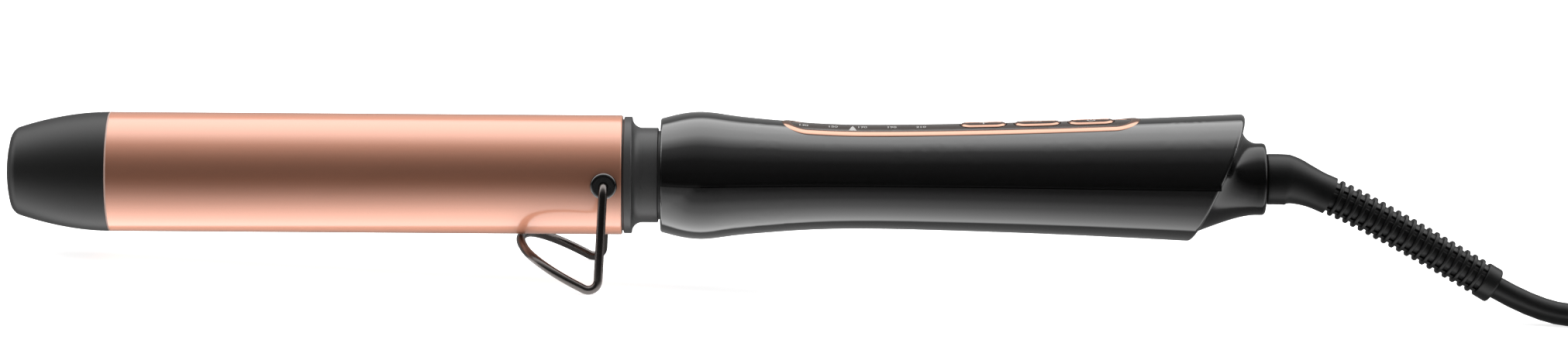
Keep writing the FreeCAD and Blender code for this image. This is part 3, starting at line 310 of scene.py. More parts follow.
class GrainGroups:
    """The node groups of the shared surface effects, each built once.

    Every group takes Scale and gives Tone, from 0 to 1, and Height.
    """

    FINE_DETAIL = 3.0
    FINE_SHARE = 0.6
    CLOUD_SCALE = 45.0
    STREAK_STRETCH = (0.16, 1.0, 1.0)
    STREAK_DETAIL = 4.0
    STREAK_SHARE = 0.5
    SPECK_SCALE = 0.7
    THREAD_WAVER = 0.4

    def __init__(self) -> None:
        """Build all groups."""
        self.trees: dict[Grain, bpy.types.NodeTree] = {
            Grain.MOULDED: self._moulded(),
            Grain.BRUSHED: self._brushed(),
            Grain.WOVEN: self._woven(),
        }

    @staticmethod
    def _start(grain: Grain) -> tuple[NodePen, bpy.types.Node, bpy.types.Node, bpy.types.NodeSocket]:
        """Make an empty group.

        Args:
            grain: The effect that the group is for.

        Returns:
            The pen, the group's input and output nodes and the object coordinates.
        """
        tree = bpy.data.node_groups.new(grain.value, "ShaderNodeTree")
        tree.interface.new_socket("Scale", in_out="INPUT", socket_type="NodeSocketFloat")
        tree.interface.new_socket("Tone", in_out="OUTPUT", socket_type="NodeSocketFloat")
        tree.interface.new_socket("Height", in_out="OUTPUT", socket_type="NodeSocketFloat")
        pen = NodePen(tree)
        inlet = pen.add("NodeGroupInput")
        outlet = pen.add("NodeGroupOutput")
        place = pen.add("TexCoord").outputs["Object"]
        return pen, inlet, outlet, place

    def _moulded(self) -> bpy.types.NodeTree:
        """Make a fine even grain with slow, faint clouds.

        Returns:
            The group.
        """
        pen, inlet, outlet, place = self._start(Grain.MOULDED)
        fine = pen.add("TexNoise")
        fine.inputs["Detail"].default_value = self.FINE_DETAIL
        clouds = pen.add("TexNoise")
        clouds.inputs["Scale"].default_value = self.CLOUD_SCALE
        pen.join(place, fine.inputs["Vector"])
        pen.join(place, clouds.inputs["Vector"])
        pen.join(inlet.outputs["Scale"], fine.inputs["Scale"])
        share = pen.math("MULTIPLY", fine.outputs["Fac"], self.FINE_SHARE)
        slow = pen.math("MULTIPLY", clouds.outputs["Fac"], 1.0 - self.FINE_SHARE)
        pen.join(pen.math("ADD", share, slow), outlet.inputs["Tone"])
        pen.join(fine.outputs["Fac"], outlet.inputs["Height"])
        return pen.tree

    def _brushed(self) -> bpy.types.NodeTree:
        """Make short fine streaks along the styler with small specks between them.

        Returns:
            The group.
        """
        pen, inlet, outlet, place = self._start(Grain.BRUSHED)
        stretch = pen.add("Mapping")
        stretch.inputs["Scale"].default_value = self.STREAK_STRETCH
        streaks = pen.add("TexNoise")
        streaks.inputs["Detail"].default_value = self.STREAK_DETAIL
        specks = pen.add("TexNoise")
        pen.join(place, stretch.inputs["Vector"])
        pen.join(stretch.outputs["Vector"], streaks.inputs["Vector"])
        pen.join(place, specks.inputs["Vector"])
        pen.join(inlet.outputs["Scale"], streaks.inputs["Scale"])
        pen.join(pen.math("MULTIPLY", inlet.outputs["Scale"], self.SPECK_SCALE), specks.inputs["Scale"])
        streaked = pen.math("MULTIPLY", streaks.outputs["Fac"], self.STREAK_SHARE)
        specked = pen.math("MULTIPLY", specks.outputs["Fac"], 1.0 - self.STREAK_SHARE)
        both = pen.math("ADD", streaked, specked)
        pen.join(both, outlet.inputs["Tone"])
        pen.join(both, outlet.inputs["Height"])
        return pen.tree

    def _woven(self) -> bpy.types.NodeTree:
        """Make the crossed threads of a narrow strap.

        Returns:
            The group.
        """
        pen, inlet, outlet, place = self._start(Grain.WOVEN)
        threads = []
        for direction in ("X", "Z"):
            wave = pen.add("TexWave", bands_direction=direction)
            wave.inputs["Distortion"].default_value = self.THREAD_WAVER
            pen.join(place, wave.inputs["Vector"])
            pen.join(inlet.outputs["Scale"], wave.inputs["Scale"])
            threads.append(wave.outputs["Fac"])
        woven = pen.math("MULTIPLY", threads[0], threads[1])
        pen.join(woven, outlet.inputs["Tone"])
        pen.join(woven, outlet.inputs["Height"])
        return pen.tree


class FinishShop:
    """Makes the material of each finish once and puts it on pieces."""

    def __init__(self) -> None:
        """Start with the shared groups and no materials."""
        self.groups = GrainGroups()
        self.made: dict[str, bpy.types.Material] = {}

    def material(self, finish: Finish) -> bpy.types.Material:
        """Give the material of a finish.

        Args:
            finish: The finish to make.

        Returns:
            The material, made on the first call.
        """
        if finish.name in self.made:
            return self.made[finish.name]
        material = bpy.data.materials.new(finish.name)
        material.use_nodes = True
        pen = NodePen(material.node_tree)
        shader = material.node_tree.nodes["Principled BSDF"]
        plain = {
            "Metallic": finish.metallic, "IOR": finish.ior, "Coat Weight": finish.coat,
            "Coat Roughness": finish.coat_roughness, "Coat IOR": finish.coat_ior,
        }
        for socket, value in plain.items():
            shader.inputs[socket].default_value = value
        grain = pen.add("Group", node_tree=self.groups.trees[finish.grain])
        grain.inputs["Scale"].default_value = finish.scale
        tones = pen.add("MixRGB")
        tones.inputs["Color1"].default_value = (*finish.colour, 1.0)
        tones.inputs["Color2"].default_value = (*finish.second, 1.0)
        pen.join(grain.outputs["Tone"], tones.inputs["Fac"])
        pen.join(tones.outputs["Color"], shader.inputs["Base Color"])
        low, high = finish.roughness
        spread = pen.math("MULTIPLY", grain.outputs["Tone"], high - low)
        pen.join(pen.math("ADD", spread, low), shader.inputs["Roughness"])
        bump = pen.add("Bump")
        bump.inputs["Strength"].default_value = finish.bump
        bump.inputs["Distance"].default_value = finish.depth
        pen.join(grain.outputs["Height"], bump.inputs["Height"])
        pen.join(bump.outputs["Normal"], shader.inputs["Normal"])
        self.made[finish.name] = material
        return material

    def dress(self, piece: bpy.types.Object, finish: Finish) -> None:
        """Put a finish on a piece as its only material.

        Args:
            piece: The object to dress.
            finish: The finish to put on it.
        """
        piece.data.materials.clear()
        piece.data.materials.append(self.material(finish))


@dataclass(frozen=True)
class ToolFrame:
    """The styler's own frame, placed in the row frame."""

    origin: Vector
    x_axis: Vector
    z_axis: Vector

    SWIVEL_X = 0.162

    @classmethod
    def from_joints(cls, joints: list[dict]) -> "ToolFrame":
        """Read the frame from the cord's swivel, which turns about the styler's long axis.

        Args:
            joints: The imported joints.

        Returns:
            The tool frame.
        """
        swivel = next(j for j in joints if j["name"] == "cord_swivel")
        x_axis = Vector(swivel["axis"]).normalized()
        z_axis = x_axis.cross(Vector((0.0, 1.0, 0.0))).normalized()
        return cls(Vector(swivel["pos_m"]) - x_axis * cls.SWIVEL_X, x_axis, z_axis)

    def matrix(self) -> Matrix:
        """The transform from the tool frame to the row frame."""
        turn = Matrix((self.x_axis, (0.0, 1.0, 0.0), self.z_axis)).transposed()
        return Matrix.Translation(self.origin) @ turn.to_4x4()


class Bench:
    """Turns bmeshes in the tool frame into named pieces that ride on a body."""

    SHARP_DEG = 38.0
    MERGE = 1e-7

    def __init__(self, tool: ToolFrame, shop: FinishShop) -> None:
        """Keep what every piece needs.

        Args:
            tool: The styler's frame.
            shop: The finishes.
        """
        self.place = tool.matrix()
        self.shop = shop

    def piece(self, name: str, bm: bmesh.types.BMesh, finish: Finish, body: Body,
              replaces: Iterable[str] = (), in_row: bool = False) -> bpy.types.Object:
        """Finish a bmesh as a piece.

        Args:
            name: The piece's name.
            bm: The shape, in the tool frame unless in_row is set. It is freed.
            finish: The finish to put on.
            body: The body that it rides on.
            replaces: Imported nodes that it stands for.
            in_row: Whether the shape is in the row frame already.

        Returns:
            The new object.
        """
        bmesh.ops.remove_doubles(bm, verts=bm.verts, dist=self.MERGE)
        bmesh.ops.recalc_face_normals(bm, faces=bm.faces)
        if not in_row:
            bmesh.ops.transform(bm, matrix=self.place, verts=bm.verts)
        mesh = bpy.data.meshes.new(name)
        bm.to_mesh(mesh)
        bm.free()
        mesh.shade_smooth()
        mesh.set_sharp_from_angle(angle=math.radians(self.SHARP_DEG))
        return self.adopt(bpy.data.objects.new(name, mesh), finish, body, replaces)

    def adopt(self, piece: bpy.types.Object, finish: Finish, body: Body,
              replaces: Iterable[str] = ()) -> bpy.types.Object:
        """Link an object, dress it and let it ride.

        Args:
            piece: The object, in the row frame.
            finish: The finish to put on.
            body: The body that it rides on.
            replaces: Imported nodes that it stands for.

        Returns:
            The same object.
        """
        bpy.context.scene.collection.objects.link(piece)
        self.shop.dress(piece, finish)
        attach(piece, body.value)
        if replaces:
            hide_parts(*replaces)
        LOG.info("piece %s rides on %s", piece.name, body.value)
        return piece


def section(points: list[Point], rounding: dict[int, float], plane: Callable[[float, float], Vector],
            closed: bool = False, segments: int = 6) -> bmesh.types.BMesh:
    """Draw a section line and round some of its corners.

    Args:
        points: Corners of the line.
        rounding: Radius by the index of the corner that it rounds.
        plane: Maps a corner to its place.
        closed: Whether the last corner joins the first.
        segments: Steps of each rounding.

    Returns:
        A bmesh that holds the line.
    """
    bm = bmesh.new()
    corners = [bm.verts.new(plane(a, b)) for a, b in points]
    ends = corners[1:] + corners[:1] if closed else corners[1:]
    for first, second in zip(corners, ends):
        bm.edges.new((first, second))
    for index, radius in rounding.items():
        bmesh.ops.bevel(
            bm, geom=[corners[index]], offset=radius, affect="VERTICES", segments=segments, profile=0.5,
            material=-1,
        )
    return bm


def profile(x: float, r: float) -> Vector:
    """The place of a turned section's corner, x along the styler and r out from its axis."""
    return Vector((x, 0.0, r))


def lathe(bm: bmesh.types.BMesh, steps: int) -> None:
    """Spin a section fully round the styler's long axis.

    Args:
        bm: The section. It gets the faces.
        steps: Steps of the turn.
    """
    bmesh.ops.spin(
        bm, geom=bm.verts[:] + bm.edges[:], cent=(0.0, 0.0, 0.0), axis=(1.0, 0.0, 0.0), angle=2 * math.pi,
        steps=steps, use_merge=True,
    )


def far_edges(made: dict) -> list[bmesh.types.BMEdge]:
    """The edges at the far end of what a spin made."""
    return [part for part in made["geom_last"] if isinstance(part, bmesh.types.BMEdge)]


def draw_out(bm: bmesh.types.BMesh, step: Vector, steps: int) -> list[bmesh.types.BMEdge]:
    """Draw a section out along a straight way.

    Args:
        bm: The section. It gets the faces.
        step: The way of one step.
        steps: How many steps.

    Returns:
        The edges of the far end.
    """
    made = bmesh.ops.spin(
        bm, geom=bm.verts[:] + bm.edges[:], cent=(0.0, 0.0, 0.0), axis=(1.0, 0.0, 0.0), dvec=step, angle=0.0,
        steps=steps,
    )
    return far_edges(made)


@dataclass
class HandleForm:
    """The handle's outer form, which the panel's pieces lie on."""

    length: float = 0.1586
    bulge_r: float = 0.0171
    bulge_x: float = 0.0108
    waist_r: float = 0.01403
    waist_x: float = 0.0535
    tail_r: float = 0.0176
    swell: float = 1.6

    def radius(self, x: float) -> float:
        """The outer radius behind the bulge.

        Args:
            x: Distance from the front face.

        Returns:
            The radius there.
        """
        if x <= self.waist_x:
            t = (x - self.bulge_x) / (self.waist_x - self.bulge_x)
            return self.bulge_r - (self.bulge_r - self.waist_r) * math.sin(math.pi / 2 * t)
        t = (x - self.waist_x) / (self.length - self.waist_x)
        return self.waist_r + (self.tail_r - self.waist_r) * t**self.swell

    def drape(self, bm: bmesh.types.BMesh) -> None:
        """Lay a flat shape on the handle, its z as the height above the surface.

        Args:
            bm: The flat shape, changed in place.
        """
        for vert in bm.verts:
            radius = self.radius(vert.co.x)
            angle = math.asin(max(-1.0, min(1.0, vert.co.y / radius)))
            reach = radius + vert.co.z
            vert.co.y = reach * math.sin(angle)
            vert.co.z = reach * math.cos(angle)


def stadium_sweep(bm: bmesh.types.BMesh, front_x: float, rear_x: float, arc_steps: int = 20,
                  run_steps: int = 40) -> None:
    """Sweep a section round two half-circle ends and the two straight runs between them.

    Args:
        bm: The section, in the plane x = rear_x on the side of negative y. It gets the swept faces.
        front_x: The middle of the front end's half circle.
        rear_x: The middle of the rear end's half circle.
        arc_steps: Steps of each half circle.
        run_steps: Steps of each straight run.
    """
    last = list(bm.verts) + list(bm.edges)
    run = Vector(((front_x - rear_x) / run_steps, 0.0, 0.0))
    for turn_x, way in ((rear_x, run), (front_x, -run)):
        made = bmesh.ops.spin(
            bm, geom=last, cent=(turn_x, 0.0, 0.0), axis=(0.0, 0.0, 1.0), angle=math.pi, steps=arc_steps
        )
        made = bmesh.ops.spin(
            bm, geom=made["geom_last"], cent=(0.0, 0.0, 0.0), axis=(0.0, 0.0, 1.0), dvec=way, angle=0.0,
            steps=run_steps,
        )
        last = made["geom_last"]
    bmesh.ops.remove_doubles(bm, verts=bm.verts, dist=1e-6)
    bmesh.ops.dissolve_degenerate(bm, edges=bm.edges, dist=1e-7)


@dataclass
class Barrel:
    """The rose-gold tube with rolled ends and a pale edge ring at the tip, whose pale colour is a painted
    highlight along the tip's edge.
    """

    radius: float = 0.016
    wall: float = 0.001
    tip_x: float = -0.1477
    end_x: float = -0.0102
    roll: float = 0.00045
    edge_w: float = 0.00045
    edge_fall: float = 0.00012
    edge_lift: float = 0.00004
    edge_deep: float = 0.0006
    steps: int = 192

    def build(self, bench: Bench) -> None:
        """Spin the tube and its edge ring.

        Args:
            bench: Where the pieces are finished.
        """
        inner = self.radius - self.wall
        rear_x = self.tip_x + self.edge_w
        deep = self.radius - self.edge_deep
        tube = [
            (self.tip_x, inner), (self.tip_x, self.radius), (self.end_x, self.radius), (self.end_x, inner),
        ]
        ring = [
            (self.tip_x, deep), (self.tip_x, self.radius - self.edge_fall),
            (rear_x, self.radius + self.edge_lift), (rear_x, deep),
        ]
        barrel = section(tube, {1: self.roll, 2: self.roll}, profile, closed=True)
        lathe(barrel, self.steps)
        bench.piece("rose_gold_barrel", barrel, BARREL_ROSE, Body.HEAD, ["barrel_tube"])
        # The ring's sloped band is real shape; its pale colour is a painted highlight along the tip edge.
        edge = section(ring, {}, profile, closed=True)
        lathe(edge, self.steps)
        bench.piece("barrel_edge_highlight", edge, EDGE_PAINTED_HIGHLIGHT, Body.HEAD)


@dataclass
class CoolTip:
    """The charcoal nose: a swelling flank, a round edge and a gently domed end."""

    root_x: float = -0.1477
    root_r: float = 0.016
    length: float = 0.02735
    flank_len: float = 0.0256
    flank_drop: float = 0.0047
    flank_power: float = 1.89
    edge_r: float = 0.0018
    spigot_r: float = 0.0146
    spigot_len: float = 0.004
    flank_steps: int = 16
    dome_steps: int = 5
    steps: int = 160

    def build(self, bench: Bench) -> None:
        """Spin the nose's section.

        Args:
            bench: Where the piece is finished.
        """
        spigot = [(-self.spigot_len, 0.0), (-self.spigot_len, self.spigot_r), (0.0, self.spigot_r)]
        flank = []
        for step in range(self.flank_steps + 1):
            share = step / self.flank_steps
            flank.append((self.flank_len * share, self.root_r - self.flank_drop * share**self.flank_power))
        sag = self.length - self.flank_len
        rim = flank[-1][1]
        dome = []
        for step in reversed(range(self.dome_steps)):
            share = step / self.dome_steps
            dome.append((self.length - sag * share**2, rim * share))
        edge = len(spigot) + len(flank) - 1
        bm = section(spigot + flank + dome, {edge: self.edge_r}, lambda x, r: profile(self.root_x - x, r))
        lathe(bm, self.steps)
        bench.piece("domed_nose", bm, TIP_CHARCOAL, Body.HEAD, ["cool_tip"])


@dataclass
class ControlPanel:
    """The bezel, the printed marks, a small pale triangle and the three buttons on the handle's top."""

    form: HandleForm = field(default_factory=HandleForm)
    front_x: float = 0.0323
    rear_x: float = 0.1283
    width: float = 0.0142
    bezel_w: float = 0.0026
    bezel_flat: float = 0.34
    bezel_sink: float = 0.00022
    recess: float = 0.00015
    button_x: float = 0.0863
    button_pitch: float = 0.0144
    button_len: float = 0.0123
    button_w: float = 0.006
    button_raise: float = 0.0003
    button_depth: float = 0.0014
    button_fall: float = 0.00036
    button_bends: tuple[float, ...] = (0.00008, 0.00006, 0.00016, 0.0001)
    rim: float = 0.001
    rim_slope: float = 0.0006
    dish: float = 0.00016
    dish_slope: float = 0.0001
    face_gap: float = 0.00004
    face_t: float = 0.00005
    print_lift: float = 0.00002
    print_depth: float = 0.00004
    print_w: float = 0.00038
    sign_len: float = 0.0023
    sign_gap_deg: float = 80.0
    stroke_share: float = 1.3
    stroke_shift: float = 0.6
    number_x: float = 0.0381
    number_pitch: float = 0.00787
    number_y: float = -0.002
    number_size: float = 0.0018
    number_bold: float = 0.02
    numbers: tuple[str, ...] = ("130", "150", "170", "190", "210")
    triangle_x: float = 0.0513
    triangle_y: tuple[float, float] = (-0.0043, -0.001)
    triangle_w: float = 0.0021
    triangle_cuts: int = 4
    keys: tuple[tuple[Body, str], ...] = (
        (Body.PLUS, "plus"), (Body.MINUS, "minus"), (Body.POWER, "power"),
    )

    def build(self, bench: Bench) -> None:
        """Make every piece of the panel.

        Args:
            bench: Where the pieces are finished.
        """
        self._bezel(bench)
        for index, (body, name) in enumerate(self.keys):
            middle = self.button_x + self.button_pitch * index
            self._button(bench, middle, body, name)
            self._sign(bench, middle, body, name)
        for index, words in enumerate(self.numbers):
            self._number(bench, self.number_x + self.number_pitch * index, words)
        self._pale_triangle(bench)

    def _bezel(self, bench: Bench) -> None:
        """Sweep the polished bead round the panel.

        Args:
            bench: Where the piece is finished.
        """
        bead = self.bezel_w / 2
        middle = self.width / 2 - bead
        rear = self.rear_x - self.width / 2
        bm = bmesh.new()
        turn = Matrix.Rotation(math.pi / 2, 4, "Y")
        squash = Matrix.Diagonal((1.0, 1.0, self.bezel_flat, 1.0))
        place = Matrix.Translation((rear, -middle, -self.bezel_sink)) @ squash @ turn
        bmesh.ops.create_circle(bm, segments=32, radius=bead, matrix=place)
        stadium_sweep(bm, self.front_x + self.width / 2, rear, arc_steps=36, run_steps=72)
        self.form.drape(bm)
        bench.piece("bezel_bead", bm, TRIM_ROSE, Body.HANDLE, ["panel_bezel"])

    def _pill(self, corners: list[Point], bends: dict[int, float], middle: float) -> bmesh.types.BMesh:
        """Sweep a section round a button's outline and lay it on the handle.

        Args:
            corners: The section, out from the button's middle line and up.
            bends: The radius at each corner that is rounded.
            middle: The button's middle along the handle.

        Returns:
            The shape.
        """
        reach = (self.button_len - self.button_w) / 2
        bm = section(corners, bends, lambda y, z: Vector((middle + reach, -y, z)))
        stadium_sweep(bm, middle - reach, middle + reach, arc_steps=24, run_steps=14)
        self.form.drape(bm)
        return bm

    def _button(self, bench: Bench, middle: float, body: Body, name: str) -> None:
        """Make one dished button with its sloped rim and its face.

        Args:
            bench: Where the pieces are finished.
            middle: The button's middle along the handle.
            body: The body that it rides on.
            name: The button's name.
        """
        half = self.button_w / 2
        floor_z = self.button_raise - self.dish
        corners = [
            (0.0, floor_z),
            (half - self.rim, floor_z),
            (half - self.rim + self.dish_slope, self.button_raise),
            (half - self.rim_slope, self.button_raise),
            (half, self.button_raise - self.button_fall),
            (half, -self.button_depth),
            (0.0, -self.button_depth),
        ]
        key = self._pill(corners, dict(enumerate(self.button_bends, start=1)), middle)
        bench.piece(name + "_key", key, TRIM_ROSE, body, [name + "_button"])
        edge = half - self.rim - self.face_gap
        top = floor_z + self.face_t
        plate = [(0.0, top), (edge, top), (edge, floor_z), (0.0, floor_z)]
        bench.piece(name + "_face", self._pill(plate, {1: self.face_t / 2}, middle), BUTTON_FACE, body)

    def _bar(self, length: float, across: bool = False, shift_y: float = 0.0) -> bmesh.types.BMesh:
        """Draw a thin printed bar with round ends.

        Args:
            length: The bar's length.
            across: Whether it lies across the handle.
            shift_y: How far it is moved across the handle.

        Returns:
            The bar, centred on the origin before the shift.
        """
        half = self.print_w / 2
        reach = length / 2 - half
        corners = [(0.0, self.print_depth), (half, self.print_depth), (half, 0.0), (0.0, 0.0)]
        bm = section(corners, {}, lambda y, z: Vector((reach, -y, z)))
        stadium_sweep(bm, -reach, reach, arc_steps=8, run_steps=6)
        turn = Matrix.Rotation(math.pi / 2 if across else 0.0, 4, "Z")
        bmesh.ops.transform(bm, matrix=Matrix.Translation((0.0, shift_y, 0.0)) @ turn, verts=bm.verts)
        return bm

    def _open_ring(self, radius: float, gap_deg: float) -> bmesh.types.BMesh:
        """Draw a thin printed ring that is open towards +y.

        Args:
            radius: The ring's outer radius.
            gap_deg: The angle left open.

        Returns:
            The ring, centred on the origin.
        """
        inner = radius - self.print_w
        corners = [(inner, 0.0), (radius, 0.0), (radius, self.print_depth), (inner, self.print_depth)]
        bm = section(corners, {}, lambda y, z: Vector((0.0, y, z)), closed=True)
        turn = Matrix.Rotation(math.radians(gap_deg / 2), 3, "Z")
        bmesh.ops.rotate(bm, verts=bm.verts, cent=(0.0, 0.0, 0.0), matrix=turn)
        bmesh.ops.contextual_create(bm, geom=bm.edges[:])
        made = bmesh.ops.spin(
            bm, geom=bm.verts[:] + bm.edges[:], cent=(0.0, 0.0, 0.0), axis=(0.0, 0.0, 1.0),
            angle=math.radians(360.0 - gap_deg), steps=32,
        )
        bmesh.ops.contextual_create(bm, geom=far_edges(made))
        return bm

    def _sign(self, bench: Bench, middle: float, body: Body, name: str) -> None:
        """Print a cross, a bar or an on-off sign on a button.

        Args:
            bench: Where the piece is finished.
            middle: The button's middle along the handle.
            body: The body that it rides on.
            name: The button's name.
        """
        half = self.sign_len / 2
        strokes = {
            "plus": lambda: [self._bar(self.sign_len), self._bar(self.sign_len, across=True)],
            "minus": lambda: [self._bar(self.sign_len)],
            "power": lambda: [
                self._open_ring(half, self.sign_gap_deg),
                self._bar(half * self.stroke_share, across=True, shift_y=half * self.stroke_shift),
            ],
        }
        lift = self.button_raise - self.dish + self.face_t + self.print_lift
        for index, bm in enumerate(strokes[name]()):
            bmesh.ops.translate(bm, verts=bm.verts, vec=(middle, 0.0, lift))
            self.form.drape(bm)
            bench.piece(name + "_sign_" + str(index + 1), bm, PANEL_PRINT, body)

    def _number(self, bench: Bench, middle: float, words: str) -> None:
        """Print one plain heat number on the panel.

        Args:
            bench: Where the piece is finished.
            middle: The number's middle along the handle.
            words: The number.
        """
        curve = bpy.data.curves.new("number", "FONT")
        curve.body = words
        curve.size = self.number_size
        curve.align_x = "CENTER"
        curve.align_y = "CENTER"
        curve.extrude = self.print_depth / 2
        curve.offset = self.number_size * self.number_bold
        maker = bpy.data.objects.new("number", curve)
        bpy.context.scene.collection.objects.link(maker)
        bpy.context.view_layer.update()
        depsgraph = bpy.context.evaluated_depsgraph_get()
        mesh = bpy.data.meshes.new_from_object(maker.evaluated_get(depsgraph))
        bpy.data.objects.remove(maker)
        bpy.data.curves.remove(curve)
        bm = bmesh.new()
        bm.from_mesh(mesh)
        bpy.data.meshes.remove(mesh)
        lift = -self.recess + self.print_lift + self.print_depth / 2
        bmesh.ops.translate(bm, verts=bm.verts, vec=(middle, self.number_y, lift))
        self.form.drape(bm)
        bench.piece("heat_number_" + words, bm, PANEL_PRINT, Body.HANDLE)

    def _pale_triangle(self, bench: Bench) -> None:
        """Lay a small pale triangle, in the print's finish, beside the bezel.

        Args:
            bench: Where the piece is finished.
        """
        low, high = self.triangle_y
        half = self.triangle_w / 2
        lift = self.print_lift - self.recess
        corners = [(-half, low), (half, low), (0.0, high)]
        bm = section(corners, {}, lambda x, y: Vector((self.triangle_x + x, y, lift)), closed=True)
        bmesh.ops.contextual_create(bm, geom=bm.edges[:])
        bmesh.ops.subdivide_edges(bm, edges=bm.edges[:], cuts=self.triangle_cuts, use_grid_fill=True)
        bmesh.ops.triangulate(bm, faces=bm.faces[:])
        bmesh.ops.solidify(bm, geom=bm.faces[:], thickness=self.print_depth)
        self.form.drape(bm)
        bench.piece("panel_triangle", bm, PANEL_PRINT, Body.HANDLE)


@dataclass
class ShellSeam:
    """The parting line of the two handle shells along both sides, with the smooth lip above it."""

    form: HandleForm = field(default_factory=HandleForm)
    front_x: float = 0.0109
    rear_x: float = 0.1492
    seam_w: float = 0.00022
    lip_w: float = 0.0016
    lift: float = 0.00005
    depth: float = 0.00006
    rows: int = 6
    steps: int = 90

    def build(self, bench: Bench) -> None:
        """Lay the line and the lip along each side.

        Args:
            bench: Where the pieces are finished.
        """
        half = self.seam_w / 2
        for side, name in ((-1.0, "near"), (1.0, "far")):
            seam = self._strip(side, -half, half)
            bench.piece("seam_" + name, seam, SEAM_SHADOW, Body.HANDLE)
            lip = self._strip(side, half, half + self.lip_w)
            bench.piece("lip_" + name, lip, PIANO_BLACK, Body.HANDLE)

    def _strip(self, side: float, low: float, high: float) -> bmesh.types.BMesh:
        """Lay a thin strip on the handle's side.

        Args:
            side: -1 on the near side, 1 on the far one.
            low: The strip's lower edge, measured up from the parting plane.
            high: Its upper edge.

        Returns:
            The strip.
        """
        rows = [low + (high - low) * index / self.rows for index in range(self.rows + 1)]
        corners = [(row, self.lift) for row in rows] + [(row, -self.depth) for row in reversed(rows)]
        bm = section(corners, {}, lambda z, out: Vector((self.front_x, out, z)), closed=True)
        bmesh.ops.contextual_create(bm, geom=bm.edges[:])
        step = Vector(((self.rear_x - self.front_x) / self.steps, 0.0, 0.0))
        bmesh.ops.contextual_create(bm, geom=draw_out(bm, step, self.steps))
        for vert in bm.verts:
            radius = self.form.radius(vert.co.x)
            turn = vert.co.z / radius
            reach = radius + vert.co.y
            vert.co.y = side * reach * math.cos(turn)
            vert.co.z = reach * math.sin(turn)
        return bm


